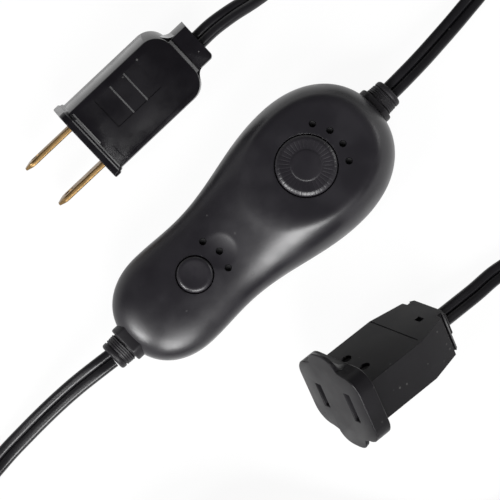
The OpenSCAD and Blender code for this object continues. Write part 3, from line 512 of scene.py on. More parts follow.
def banded(name, ground, bands, length, rough):
    """A small painted body with bands along X, as on a resistor: bands are (position 0 to 1, colour)."""
    paint, nodes, shader = start_material(name)
    where = nodes.add("ShaderNodeSeparateXYZ", {"Vector": nodes.place()})
    along = nodes.math("FRACT", nodes.math("DIVIDE", where.outputs["X"], length * MM), 0.0)
    ramp = nodes.add("ShaderNodeValToRGB", {"Fac": along})
    ramp.color_ramp.interpolation = "CONSTANT"
    stops = ramp.color_ramp.elements
    stops[0].color = tint(ground)
    stops.remove(stops[1])
    for position, colour in bands:
        stops.new(position).color = tint(colour)
        stops.new(position + BAND_WIDTH).color = tint(ground)
    skin = use_group(nodes, GRAIN, Scale=1800.0)
    stain = nodes.math("MULTIPLY", skin["Tone"], BAND_STAIN)
    nodes.fill(shader, {
        "Base Color": nodes.blend(stain, ramp.outputs["Color"], tint(ground, 0.6)),
        "Roughness": nodes.remap(skin["Tone"], 0.0, 1.0, rough - 0.06, rough + 0.06),
        "Normal": bumped(nodes, skin["Height"], 0.08, FINE_BUMP),
    })
    return paint


def woven_board(name):
    """Circuit board laminate: green mask over a faint weave, with paler traces."""
    mask, shade, trace = (0.02, 0.085, 0.04), (0.015, 0.06, 0.03), (0.035, 0.14, 0.06)
    paint, nodes, shader = start_material(name)
    where = nodes.place()
    weave = nodes.add("ShaderNodeTexBrick", {"Vector": where, "Scale": 620.0}).outputs["Fac"]
    traces = nodes.add(
        "ShaderNodeTexVoronoi", {"Vector": where, "Scale": 170.0}, feature="F1", distance="MANHATTAN")
    line = nodes.remap(traces.outputs["Distance"], 0.42, 0.5)
    cloth = nodes.blend(nodes.math("MULTIPLY", weave, 0.35), tint(mask), tint(shade))
    nodes.fill(shader, {
        "Base Color": nodes.blend(line, cloth, tint(trace)),
        "Roughness": nodes.remap(line, 0.0, 1.0, 0.34, 0.24),
        "Normal": bumped(nodes, nodes.math("ADD", line, weave), 0.15, DEEP_BUMP),
    })
    return paint


def carbon_track(name):
    """Potentiometer track: a dark ring of carbon on a tan card."""
    tan, pale_tan, carbon = (0.3, 0.19, 0.1), (0.36, 0.24, 0.13), (0.02, 0.02, 0.022)
    paint, nodes, shader = start_material(name)
    centre = (DIAL_X * MM, 0.0, 0.0)
    offset = nodes.add("ShaderNodeVectorMath", {0: nodes.place(), 1: centre}, operation="SUBTRACT")
    flat = nodes.add(
        "ShaderNodeVectorMath", {0: offset.outputs["Vector"], 1: (1.0, 1.0, 0.0)}, operation="MULTIPLY")
    length = nodes.add("ShaderNodeVectorMath", {0: flat.outputs["Vector"]}, operation="LENGTH")
    radius = length.outputs["Value"]
    outside = nodes.remap(radius, *[edge * MM for edge in TRACK_INNER])
    inside = nodes.remap(radius, *[edge * MM for edge in TRACK_OUTER], 1.0, 0.0)
    ring = nodes.math("MULTIPLY", outside, inside)
    skin = use_group(nodes, GRAIN, Scale=2200.0)
    card = nodes.blend(skin["Tone"], tint(tan), tint(pale_tan))
    nodes.fill(shader, {
        "Base Color": nodes.blend(ring, card, tint(carbon)),
        "Roughness": nodes.remap(ring, 0.0, 1.0, 0.6, 0.42),
        "Normal": bumped(nodes, skin["Height"], 0.1, FINE_BUMP),
    })
    return paint


def wound_wire(name):
    """Enamelled copper wire laid side by side round the choke, with painted shade in the grooves between the
    turns.
    """
    groove, crest, stain = (0.16, 0.05, 0.02), (0.62, 0.27, 0.13), (0.3, 0.1, 0.04)
    paint, nodes, shader = start_material(name)
    bands = {"Vector": nodes.place(), "Scale": 700.0, "Distortion": 1.5}
    wave = nodes.add("ShaderNodeTexWave", bands, wave_type="BANDS", bands_direction="DIAGONAL")
    turns = wave.outputs["Fac"]
    skin = use_group(nodes, GRAIN, Scale=1600.0)
    # The darker groove colour between the turns is painted shade; the crest colour is the wire's own copper.
    wire = nodes.blend(turns, tint(groove), tint(crest))
    nodes.fill(shader, {
        "Base Color": nodes.blend(nodes.math("MULTIPLY", skin["Tone"], 0.25), wire, tint(stain)),
        "Metallic": 0.7,
        "Roughness": nodes.remap(skin["Tone"], 0.0, 1.0, 0.26, 0.36),
        "Normal": bumped(nodes, turns, 0.4, WIRE_BUMP),
    })
    return paint


BROWN, BLACK, RED, GOLD = (0.25, 0.08, 0.02), (0.02, 0.02, 0.02), (0.5, 0.05, 0.02), (0.6, 0.45, 0.12)
RESISTOR_BANDS = ((0.15, BROWN), (0.35, BLACK), (0.55, RED), (0.8, GOLD))
DIAC_BANDS = ((0.7, BLACK),)

PAINT = {
    "case": plastic(
        "case_satin_charcoal", (0.0088, 0.0078, 0.0104), 0.37, bump=0.05, dust=0.03, specular=0.55),
    "control_plastic": plastic(
        "control_satin_charcoal", (0.0108, 0.0096, 0.0124), 0.37, bump=0.05, dust=0.03),
    "relief_rubber": plastic("relief_soft_vinyl", (0.01, 0.0092, 0.0108), 0.5, bump=0.08, specular=0.26),
    "moulded_outlet": plastic(
        "outlet_vinyl", (0.0058, 0.0053, 0.0064), 0.4, bump=0.1, specular=0.2, dust=0.3, mottle=0.2),
    "moulded_plug": plastic(
        "moulded_vinyl", (0.0042, 0.0037, 0.0049), 0.22, bump=0.06, specular=0.3, dust=0.08, mottle=0.16),
    "cord": plastic("cord_vinyl", (0.006, 0.0056, 0.0068), 0.33, bump=0.06, specular=0.4),
    "tie": plastic("tie_vinyl", (0.014, 0.0135, 0.0145), 0.45),
    "brass_strip": metal("brass_strip", (0.29, 0.185, 0.08), (0.15, 0.095, 0.04), 0.42, ROLLED),
    "screw_steel": metal(
        "screw_steel", (0.62, 0.62, 0.6), (0.42, 0.42, 0.41), 0.3, (900.0, 900.0, 2600.0)),
    "spring_steel": metal(
        "spring_steel", (0.66, 0.67, 0.69), (0.48, 0.49, 0.5), 0.26, (1200.0, 1200.0, 1200.0)),
    "can_metal": metal("can_metal", (0.58, 0.58, 0.57), (0.45, 0.45, 0.44), 0.32, (2600.0, 70.0, 2600.0)),
    "sink_metal": metal("sink_metal", (0.7, 0.71, 0.73), (0.55, 0.56, 0.58), 0.35, (60.0, 2400.0, 2400.0)),
    "board": woven_board("board_laminate"),
    "track": carbon_track("track_card"),
    "shaft_plastic": plastic("shaft_nylon", (0.55, 0.53, 0.47), 0.45, mottle=0.06, dusty=(0.7, 0.69, 0.66)),
    "switch_plastic": plastic("switch_nylon", (0.78, 0.76, 0.7), 0.42, mottle=0.05, dusty=(0.85, 0.84, 0.8)),
    "plunger_plastic": plastic(
        "plunger_acetal", (0.55, 0.04, 0.025), 0.35, mottle=0.08, dusty=(0.6, 0.2, 0.18)),
    "epoxy": plastic("package_epoxy", (0.018, 0.018, 0.019), 0.55, bump=0.2),
    "ferrite": plastic("ferrite", (0.035, 0.035, 0.038), 0.5, bump=0.3, mottle=0.2),
    "copper_wire": wound_wire("enamelled_wire"),
    "film": plastic("film_capacitor_case", (0.42, 0.035, 0.022), 0.38, dusty=(0.5, 0.2, 0.18)),
    "resistor": banded("resistor_lacquer", (0.5, 0.34, 0.18), RESISTOR_BANDS, 6.3, 0.4),
    "diac_glass": banded("diac_glass", (0.05, 0.13, 0.3), DIAC_BANDS, 5.0, 0.2),
    "core_sleeve": plastic("core_sleeve", (0.03, 0.03, 0.032), 0.4, mottle=0.12),
}
# Near-black paint for the inside of the marks: painted shade down in the small holes.
MARK_SHADE_PAINT = plastic("mark_painted_shade", (0.0022, 0.002, 0.0026), 0.6, dust=0.0, rub=0.0, specular=0.15)


# Cords

LOBE_AT, LOBE_HALF, LOBE_POWER, LOBE_SWEEP = 1.33, 1.32, 0.76, 142.0
GROOVE_HALF = 0.42
COIL_POINTS_PER_TURN, ROUTE_POINTS_PER_SPAN = 48, 6
STRAIGHT_END = 5.0
LINE_COIL = ((106.4, 34.0), 1, -90.0, 1630.0, 26.6)
LOAD_COIL = ((-78.0, -72.0), -1, 95.0, 1130.0, 29.0)
LINE_NEAR = [
    (50.9, 0, 9.5, 0), (56.6, 0.2, 8.8, 0), (63.2, 0.6, 7.4, 0), (70.6, 1.3, 5.7, 0), (78.2, 2.1, 4.3, 2),
    (85.8, 3, 3.6, 16), (93.4, 3.7, 3.6, 50),
]
LINE_FAR = [
    (88, 60.7, 9.1, 86), (80.8, 57.2, 8.2, 74), (74.2, 53, 7.6, 60), (67.8, 48.8, 7.5, 50),
    (61.4, 45.3, 7.9, 42), (55, 43.2, 8.7, 36), (48.4, 42.5, 9.9, 31), (41.8, 43, 11.3, 27),
    (35.2, 44.1, 12.4, 22),
]
LOAD_NEAR = [
    (-50.9, 0, 9.5, 0), (-56, 0.6, 9.3, 0), (-63, 1.4, 7.8, 0), (-71, 1.9, 5.6, 0), (-80, 2, 3.4, 0),
    (-90, 1.6, 2, 0), (-99.5, 0, 1.8, 0), (-107.2, -5, 1.8, 3), (-112.2, -12.6, 2, 12),
    (-113.4, -20.6, 2.4, 25), (-111.2, -29.6, 2.9, 42), (-105.4, -36.6, 3.3, 62), (-97, -40.6, 3.6, 80),
]
LOAD_FAR = [
    (-45, -63.6, 7.6, 84), (-36.5, -73.6, 5.4, 66), (-28, -83.2, 3.7, 40), (-18, -92.8, 2.5, 18),
    (-7, -99.6, 1.8, 4), (5, -102, 1.8, 0), (16, -101.4, 1.8, 0), (27, -99.6, 1.8, 0), (38, -97.2, 1.8, 0),
    (48.6, -93, 1.8, 0), (56.4, -85.4, 1.8, 0), (59.2, -75, 1.8, 0), (56.4, -64.6, 1.9, 0),
    (48.6, -57.2, 2.3, 0), (38.6, -54.3, 3.4, 0), (30, -53.7, 5, 0),
]


def cord_profile():
    """Two lobes with flattened backs and a narrow groove between them, anticlockwise."""
    ring = []
    for sign in (1, -1):
        for t in steps(-LOBE_SWEEP, LOBE_SWEEP, 16):
            a = math.radians(t)
            aside = LOBE_AT + LOBE_HALF * signed_power(math.cos(a), LOBE_POWER)
            ring.append((sign * aside, sign * CORD_LOBE * signed_power(math.sin(a), LOBE_POWER)))
        ring.append((0.0, sign * GROOVE_HALF))
    return ring


CORD_PROFILE = cord_profile()


def coil_spread(coil):
    """How far the coil's turns lie from its mean radius, at most."""
    return COIL_STEP * coil[3] / 1440.0


def coil_point(coil, a):
    """The coil's place after a degrees: a spiral inwards below, then outwards above."""
    centre, way, first, sweep, mean = coil
    radius = mean - coil_spread(coil) + COIL_STEP * abs(a - sweep / 2) / 360.0
    angle = math.radians(first + way * a)
    height = COIL_LOW + COIL_RISE * ease((a - sweep / 2) / 180.0 + 0.5)
    return Vector((centre[0] + radius * math.cos(angle), centre[1] + radius * math.sin(angle), height))


def coil_points(coil):
    """The coil's turns with a straight cord width before and after, each point with its roll."""
    sweep = coil[3]
    count = round(sweep / 360.0 * COIL_POINTS_PER_TURN)
    turns = [coil_point(coil, sweep * k / count) for k in range(count + 1)]
    before = turns[0] + (turns[0] - turns[1]).normalized() * CORD_WIDTH
    after = turns[-1] + (turns[-1] - turns[-2]).normalized() * CORD_WIDTH
    return [(p, 90.0) for p in [before] + turns + [after]]


def smooth_route(points):
    """More points on a smooth curve through the given ones, which are (place, roll)."""
    knots = [Vector((*place, roll)) for place, roll in points]
    knots = [knots[0] * 2 - knots[1]] + knots + [knots[-1] * 2 - knots[-2]]
    result = []
    for p0, p1, p2, p3 in zip(knots, knots[1:], knots[2:], knots[3:]):
        t1 = (p1.xyz - p0.xyz).length ** 0.5
        t2 = t1 + (p2.xyz - p1.xyz).length ** 0.5
        t3 = t2 + (p3.xyz - p2.xyz).length ** 0.5
        for share in steps(0.0, 1.0, ROUTE_POINTS_PER_SPAN)[:-1]:
            t = mix(t1, t2, share)
            a1 = p0 * ((t1 - t) / t1) + p1 * (t / t1)
            a2 = p1 * ((t2 - t) / (t2 - t1)) + p2 * ((t - t1) / (t2 - t1))
            a3 = p2 * ((t3 - t) / (t3 - t2)) + p3 * ((t - t2) / (t3 - t2))
            b1 = a1 * ((t2 - t) / t2) + a2 * (t / t2)
            b2 = a2 * ((t3 - t) / (t3 - t1)) + a3 * ((t - t1) / (t3 - t1))
            c = b1 * ((t2 - t) / (t2 - t1)) + b2 * ((t - t1) / (t2 - t1))
            result.append((c.xyz, c.w))
    place, roll = points[-1]
    return result + [(Vector(place), roll)]


def make_cord(name, near, coil, far, nodes):
    """One flat two-core cord, from the strain relief through its coil to its far end."""
    placed_near, placed_far = ([(Vector(p[:3]), p[3]) for p in route] for route in (near, far))
    turns = coil_points(coil)
    first = smooth_route(placed_near + turns[:1])
    last = smooth_route(turns[-1:] + placed_far)
    path = first[:-1] + turns + last[1:]
    places = [place for place, roll in path]

    def section(k, place, side, above):
        roll = math.radians(path[k][1])
        aside = side * math.cos(roll) + above * math.sin(roll)
        over = above * math.cos(roll) - side * math.sin(roll)
        return [place + aside * u + over * v for u, v in CORD_PROFILE]

    cord = object_of(name, loft(wire_rings(places, section)), ROUND_SHARP)
    return finish_piece(cord, CASE, "cord", *nodes), places


def far_end(place, x, roll):
    """The last stretch of a cord, straight into a fitting's rear."""
    return [tuple(place @ Vector((at, 0.0, 0.0))) + (roll,) for at in (x + STRAIGHT_END, x)]


line_cord, line_path = make_cord(
    "line_cord", LINE_NEAR, LINE_COIL, LINE_FAR + far_end(PLUG_PLACE, PLUG_END, PLUG_TURN[0]),
    ("line_cord_near", "line_cord_coil", "line_cord_far"))
load_cord, load_path = make_cord(
    "load_cord", LOAD_NEAR, LOAD_COIL, LOAD_FAR + far_end(OUTLET_PLACE, OUTLET_END, 0.0),
    ("load_cord_near", "load_cord_coil", "load_cord_far"))


# Case

WAIST_X, WAIST_WIDTH = -15.0, 28.8
LARGE_GAIN, SMALL_GAIN = 10.4, 1.0
CAP_POWER, CROWN_POWER, BASE_POWER = 2.2, 2.4, 3.5
CROWN_LOW, CROWN_GAIN, CROWN_RUN, CROWN_EASE = 7.5, 7.5, 42.1, 1.6
TIP_BLUNTNESS = 0.3
PLATEAU_EDGE = 1.1
DISH_X, DISH_RADIUS, DISH_DEPTH = -11.8, 4.7, 0.6
DISH_EDGE, DISH_RIM = 0.03, 1.3
TIP_ANGLE = 1.2
SMALL_STEPS, SPINE_STEPS, LARGE_STEPS = 46, 124, 56
ROW_STEPS, ROW_POWER = 84, 0.9
CROWN_AT_FULL_WALL = 8.2
BORE_GAP, BORE_CHAMFER, BORE_EASE, BORE_CLEAR = 0.3, 0.06, (0.3, 0.35), 3.0
DIAL_BORE_LOW = 12.0
BUTTON_BORE_TOP, BUTTON_BORE_LOW = 17.0, 11.0
MARK_RADIUS, MARK_DEPTH, MARK_EDGE, MARK_RISE, MARK_CLEAR = 0.95, 1.0, 0.06, 0.02, 1.2
MARK_FLOOR = ((0.6, 0.03), (0.92, 0.2))  # share of the radius, height over the floor
MARK_SPAN, MARK_MARGIN = 1.01, 0.1
DIAL_MARKS = (11.2, (-37.5, -12.5, 12.5, 37.5))
BUTTON_MARKS = (8.9, (-32.5, 0.0, 32.5))
RELIEF_GAP, RELIEF_ROOM = 0.05, (36.0, 48.0)
CASE_SHARP = 28.0
BOWL_DEPTH, BOWL_FLOOR = 10.0, 2.5
SEAM_SHARE, SEAM_STEP, SEAM_ANGLE, INSIDE_ANGLE = 0.992, 0.25, 9.0, 78.0
CASE_SCREWS = ((33.0, 10.0), (33.0, -10.0), (-34.0, 6.5), (-34.0, -6.5))
POST_TOP = PARTING - 0.02
SCREW_WELL = ((2.4, 4.2), (2.4, 0.3), (2.7, -0.02), (2.7, -1.0))  # radius, height
SCREW_POST = ((2.41, 1.6), (2.41, 3.5), (1.2, 3.5), (1.2, POST_TOP), (3.4, POST_TOP), (3.4, 1.6))


def side_half(x):
    """Half the case's width: least at the waist, most at the dial end."""
    if x > WAIST_X:
        return (WAIST_WIDTH + LARGE_GAIN * ease((x - WAIST_X) / (LARGE_END - WAIST_X))) / 2.0
    return (WAIST_WIDTH + SMALL_GAIN * ease((WAIST_X - x) / (WAIST_X - SMALL_END))) / 2.0


def crown(x):
    """The dome's height over the parting line, on the case's spine."""
    along = (clamp(x, SMALL_END, LARGE_END) - BUTTON_X) / CROWN_RUN
    return CROWN_LOW + CROWN_GAIN * ease(along) ** CROWN_EASE


def share_at(x, y):
    """0 on the case's spine and 1 on its outline."""
    foot = clamp(x, SMALL_END, LARGE_END)
    half = side_half(foot)
    if foot == x:
        return abs(y) / half
    reach = LARGE_REACH if x > foot else SMALL_REACH
    return ((abs(x - foot) / reach) ** CAP_POWER + (abs(y) / half) ** CAP_POWER) ** (1.0 / CAP_POWER)


def dome(x, y):
    """The crown over the parting line. Its edge is blunter towards the button end's tip."""
    share = min(1.0, share_at(x, y))
    power = CROWN_POWER + TIP_BLUNTNESS * (max(0.0, SMALL_END - x) / SMALL_REACH) ** 2
    return PARTING + crown(x) * (1.0 - share ** power) ** (1.0 / power)


def roof(x, y):
    """The moulded top: the dome, eased into the flat round the dial and the dish beside the button."""
    top = soft_min(dome(x, y), PLATEAU, PLATEAU_EDGE)
    far = math.hypot(x - DISH_X, y) / DISH_RADIUS
    if far >= DISH_RIM:
        return top
    return soft_min(top, top - DISH_DEPTH * (1.0 - far ** 2), DISH_EDGE)


def cap_column(end, reach, angle, inset):
    """(x, half width) of a rounded end. A negative reach points towards the button end's tip."""
    a = math.radians(angle)
    return (end + shorter(reach, inset) * math.cos(a) ** (2 / CAP_POWER),
            (side_half(end) - inset) * math.sin(a) ** (2 / CAP_POWER))


def outline_columns(inset):
    """(x, half width) along the case from the button end's tip to the dial end's tip."""
    small = steps(TIP_ANGLE, 90.0, SMALL_STEPS)[:-1]
    large = steps(90.0, TIP_ANGLE, LARGE_STEPS)[1:]
    columns = [cap_column(SMALL_END, -SMALL_REACH, t, inset) for t in small]
    columns += [(x, side_half(x) - inset) for x in steps(SMALL_END, LARGE_END, SPINE_STEPS)]
    return columns + [cap_column(LARGE_END, LARGE_REACH, t, inset) for t in large]


ROW_SHARES = [signed_power(math.cos(math.radians(t)), ROW_POWER) for t in steps(180.0, 0.0, ROW_STEPS)]


def upper_grid(inset):
    """Rows of points across the top, from tip to tip. An inset gives the wall's inside."""
    thinner = 1.0 - inset / CROWN_AT_FULL_WALL
    grid = []
    for (x, half), (whole_x, whole_half) in zip(outline_columns(inset), outline_columns(0.0)):
        row = []
        for share in ROW_SHARES:
            full = roof(whole_x, whole_half * share) if abs(share) < 1.0 else PARTING
            row.append((x, half * share, PARTING + (full - PARTING) * thinner if inset else full))
        grid.append(row)
    return grid


def upper_shell_shape():
    """The top as a closed shell: the outside, the inside and the rim that joins them."""
    outside, inside = upper_grid(0.0), upper_grid(WALL)
    columns, rows = len(outside), len(ROW_SHARES)
    count = columns * rows
    faces = []
    for c in range(columns - 1):
        for r in range(rows - 1):
            quad = [c * rows + r, (c + 1) * rows + r, (c + 1) * rows + r + 1, c * rows + r + 1]
            faces.append(quad)
            faces.append([count + k for k in quad[::-1]])
    border = [c * rows for c in range(columns)] + [(columns - 1) * rows + r for r in range(1, rows)]
    border += [c * rows + rows - 1 for c in range(columns - 2, -1, -1)] + list(range(rows - 2, 0, -1))
    for a, b in zip(border, border[1:] + border[:1]):
        faces.append([b, a, count + a, count + b])
    return Shape().add([p for row in outside + inside for p in row], faces)


def bore(x, radius, top, low, count):
    """A cutter for a round hole on the case's spine, with its upper edge eased in two steps."""
    wide = radius + BORE_CHAMFER
    out, down = BORE_EASE
    profile = [(radius, low), (radius, top - BORE_CHAMFER),
               (radius + BORE_CHAMFER * out, top - BORE_CHAMFER * down), (wide, top),
               (wide, top + BORE_CLEAR)]
    return lathe(profile, count, (x, 0.0))


def mark(x, y, top):
    """A cutter for a small round blind mark with a rounded floor."""
    floor, mouth = top - MARK_DEPTH, MARK_RADIUS + MARK_EDGE
    profile = [(AXIS_FLAT, floor)] + [(MARK_RADIUS * share, floor + up) for share, up in MARK_FLOOR]
    profile += [(MARK_RADIUS, top - MARK_EDGE), (mouth, top + MARK_RISE), (mouth, top + MARK_CLEAR)]
    return lathe(profile, 32, (x, y))


def mark_places():
    """(x, y) of the four marks round the dial and the three round the button."""
    places = []
    for x, (radius, angles) in ((DIAL_X, DIAL_MARKS), (BUTTON_X, BUTTON_MARKS)):
        for a in map(math.radians, angles):
            places.append((x + radius * math.cos(a), radius * math.sin(a)))
    return places


def flat_ring(x, radius, flat, count):
    """A ring about the strain reliefs' axis whose top and bottom are cut flat."""
    return [(x, u, PARTING + clamp(v, -flat, flat)) for u, v in circle(radius, count)]


def relief_room():
    """The openings at both ends, with room for the strain reliefs' collars."""
    shape = Shape()
    for side in (-1, 1):
        shape.join(loft([flat_ring(side * x, RELIEF_RADIUS + RELIEF_GAP, RELIEF_FLAT + RELIEF_GAP, 96)
                         for x in RELIEF_ROOM]))
    return shape


def make_upper_shell():
    """The top with its two bores, its relief openings and its marks, whose insides are painted near-black:
    painted shade in the holes.
    """
    shell = object_of("upper_shell_top", upper_shell_shape())
    places = mark_places()
    cutters = Shape()
    cutters.join(bore(DIAL_X, DIAL_RADIUS + BORE_GAP, PLATEAU, DIAL_BORE_LOW, 128))
    cutters.join(bore(BUTTON_X, BUTTON_RADIUS + BORE_GAP, BUTTON_BORE_TOP, BUTTON_BORE_LOW, 96))
    for x, y in places:
        cutters.join(mark(x, y, roof(x, y)))
    carve(shell, cutters)
    carve(shell, relief_room(), CASE_SHARP)
    finish_piece(shell, CASE, "case", "upper_shell")
    shell.data.materials.append(MARK_SHADE_PAINT)
    # Faces down inside the marks take the near-black paint, which is painted shade.
    for face in shell.data.polygons:
        x, y, z = face.center / MM
        beside = min(math.hypot(x - mark_x, y - mark_y) for mark_x, mark_y in places)
        if beside < MARK_RADIUS * MARK_SPAN and MARK_MARGIN < roof(x, y) - z < MARK_DEPTH + MARK_MARGIN:
            face.material_index = 1


def outline_ring(share, height, inset=0.0):
    """One level of the lower shell: the case's outline, drawn in towards its spine."""
    columns = outline_columns(inset)

    def at(column, side):
        x, half = column
        foot = clamp(x, SMALL_END, LARGE_END)
        return (foot + (x - foot) * share, side * half * share, height)

    return [at(c, -1) for c in columns] + [at(c, 1) for c in reversed(columns)]


def bowl_ring(t, depth, inset=0.0):
    """One level of the bowl's rounded side, with t from 0 at the parting line."""
    share, drop = math.cos(t) ** (2 / BASE_POWER), math.sin(t) ** (2 / BASE_POWER)
    return outline_ring(share, PARTING - depth * drop, inset)


def make_lower_shell():
    """The bowl under the parting line, with a fine step at the seam, four screw wells and their posts."""
    outside = [outline_ring(SEAM_SHARE, PARTING), outline_ring(SEAM_SHARE, PARTING - SEAM_STEP)]
    flat = math.asin((PARTING / BOWL_DEPTH) ** (BASE_POWER / 2.0))
    outside += [bowl_ring(t, BOWL_DEPTH) for t in steps(math.radians(SEAM_ANGLE), flat, 18)]
    inside = [bowl_ring(t, BOWL_DEPTH - BOWL_FLOOR, WALL) for t in steps(0.0, math.radians(INSIDE_ANGLE), 12)]
    shell = object_of("lower_shell_bowl", loft(inside[::-1] + outside))
    wells, posts = Shape(), Shape()
    for place in CASE_SCREWS:
        wells.join(lathe(SCREW_WELL, 40, place))
        posts.join(lathe(SCREW_POST, 40, place))
    carve(shell, wells)
    carve(shell, relief_room(), CASE_SHARP)
    bowl = merge("lower_shell_bowl", [shell, object_of("lower_shell_posts", posts)])
    smooth(bowl.data, CASE_SHARP)
    finish_piece(bowl, CASE, "case", "lower_shell")


make_upper_shell()
make_lower_shell()


# Dial and button

CONTROL_SHARP = 32.0
RIDGES, POINTS_PER_RIDGE = 36, 12
RIDGE_RISE, FLUTE_DEPTH, FLUTE_HALF = 0.02, 0.05, 0.12
DIAL_FACE = (  # radius, depth below the top, share of the ridges
    (0.05, 0.1, 0.0), (1.6, 0.1, 0.0), (3.0, 0.1, 0.0), (3.7, 0.11, 0.0), (3.9, 0.13, 0.0), (4.05, 0.18, 0.0),
    (4.2, 0.25, 0.0), (4.32, 0.28, 0.3), (4.5, 0.28, 0.8), (5.0, 0.24, 1.0), (5.6, 0.19, 1.0),
    (6.2, 0.13, 1.0), (6.6, 0.09, 1.0), (6.8, 0.07, 0.8), (6.95, 0.07, 0.7), (7.1, 0.1, 0.8),
    (7.35, 0.2, 0.8), (7.6, 0.33, 0.8), (7.85, 0.48, 0.8), (8.0, 0.61, 0.5), (8.1, 0.76, 0.0),
    (DIAL_RADIUS, 1.0, 0.0),
)
DIAL_FOOT = (  # radius, height
    (DIAL_RADIUS, 18.2), (9.6, 18.2), (9.65, 18.1), (9.65, 16.75), (4.7, 16.7), (4.7, 14.6), (3.1, 14.5),
)
BUTTON_FACE = (  # radius, depth below the top
    (AXIS_FLAT, 0.15), (1.4, 0.14), (2.4, 0.1), (3.1, 0.04), (3.45, 0.01), (3.62, 0.0),
)
BUTTON_ROLL_AT, BUTTON_ROLL_OUT, BUTTON_ROLL_DOWN = 3.62, 1.16, 0.86
BUTTON_FOOT = ((4.78, 14.1), (5.75, 14.1), (5.8, 14.05), (5.8, 13.15), (5.75, 13.1), (2.0, 13.1))


def make_dial():
    """A dial with fine radial ridges round a smooth disc, a wide rolled rim and a stepped foot."""
    stations = [(radius, DIAL_TOP - depth, share) for radius, depth, share in DIAL_FACE]
    stations += [(radius, height, 0.0) for radius, height in DIAL_FOOT]
    rings = []
    for radius, height, share in stations:
        ring = []
        for k, (u, v) in enumerate(circle(radius, RIDGES * POINTS_PER_RIDGE)):
            off = abs((k % POINTS_PER_RIDGE) / POINTS_PER_RIDGE - 0.5)
            groove = math.exp(-(off / FLUTE_HALF) ** 2)
            ring.append((DIAL_X + u, v, height + share * (RIDGE_RISE - FLUTE_DEPTH * groove)))
        rings.append(ring)
    dial = object_of("dial_fluted_knob", loft(rings, True, False), CONTROL_SHARP)
    finish_piece(dial, DIAL, "control_plastic", "dial")


def make_button():
    """A round button: a shallow dish, a rolled rim and a retaining flange below."""
    profile = [(radius, BUTTON_TOP - depth) for radius, depth in BUTTON_FACE]
    for t in map(math.radians, steps(8.0, 90.0, 12)):
        profile.append((BUTTON_ROLL_AT + BUTTON_ROLL_OUT * math.sin(t),
                        BUTTON_TOP - BUTTON_ROLL_DOWN + BUTTON_ROLL_DOWN * math.cos(t)))
    profile += BUTTON_FOOT
    button = object_of("button_cap", lathe(profile, 120, (BUTTON_X, 0.0)), CONTROL_SHARP)
    finish_piece(button, BUTTON, "control_plastic", "push_button")


make_dial()
make_button()


# Strain reliefs

RELIEF_INNER, RELIEF_LIP, RELIEF_END = 40.0, 46.2, 50.9
RELIEF_RINGS, RING_HALF, RING_DEPTH = (47.2, 47.8, 48.4), 0.16, 0.14
NECK_START_RADIUS, NECK_END_RADIUS, NECK_RUN = 4.27, 4.1, 2.7
RELIEF_COLLAR = (  # x, radius, height at which the top and bottom are cut flat
    (RELIEF_INNER + 0.2, 0.3, 0.3), (RELIEF_INNER + 0.2, 5.0, 4.0),
    (RELIEF_INNER + 0.5, RELIEF_RADIUS, RELIEF_FLAT), (RELIEF_LIP - 0.55, RELIEF_RADIUS, RELIEF_FLAT),
    (RELIEF_LIP - 0.25, 5.2, 4.17), (RELIEF_LIP - 0.08, 5.08, 4.09), (RELIEF_LIP, 4.9, 3.98),
    (RELIEF_LIP - 0.02, 4.6, 3.9), (RELIEF_LIP, 4.0, 3.85), (RELIEF_LIP + 0.3, 3.9, 3.9),
    (RELIEF_LIP + 0.42, 4.12, 4.12), (RELIEF_LIP + 0.6, NECK_START_RADIUS, NECK_START_RADIUS),
)
RELIEF_TAIL = (  # distance from the end, radius
    (2.05, NECK_END_RADIUS), (1.9, 4.02), (1.82, 3.75), (1.62, 3.72), (1.55, 3.95), (1.4, 4.06), (0.7, 4.05),
    (0.35, 3.95), (0.12, 3.75), (0.0, 3.4), (0.02, 3.1), (0.15, 2.95), (0.15, 0.3),
)
PLATE_X, PLATE_WIDTH, PLATE_HEIGHT, PLATE_CORNER = (38.45, 40.6), 11.8, 4.9, 1.2


def make_relief(name, side, node):
    """A moulded sleeve: an inner plate, a flat-topped collar, a neck with fine rings and a notched end."""
    stations = list(RELIEF_COLLAR)
    for x in RELIEF_RINGS:
        crest = mix(NECK_START_RADIUS, NECK_END_RADIUS, (x - RELIEF_LIP) / NECK_RUN)
        floor = crest - RING_DEPTH
        stations += [(x - RING_HALF, crest, crest), (x, floor, floor), (x + RING_HALF, crest, crest)]
    stations += [(RELIEF_END - back, radius, radius) for back, radius in RELIEF_TAIL]
    shape = loft([flat_ring(side * x, radius, flat, 72) for x, radius, flat in stations])
    plate = round_rectangle(PLATE_WIDTH, PLATE_HEIGHT, PLATE_CORNER, 5)
    shape.join(loft([[(side * x, u, PARTING + v) for u, v in plate] for x in PLATE_X]))
    relief = object_of(name, shape, ROUND_SHARP)
    finish_piece(relief, CASE, "relief_rubber", node)


make_relief("line_relief_sleeve", 1, "line_strain_relief")
make_relief("load_relief_sleeve", -1, "load_strain_relief")


# Plug

MOULD_SHARP, RIB_SHARP, STEP_SHARP = 24.0, 8.0, 50.0
PLUG_HIGH, PLUG_FRONT, PLUG_CORNER = 5.3, 0.4, 5.5
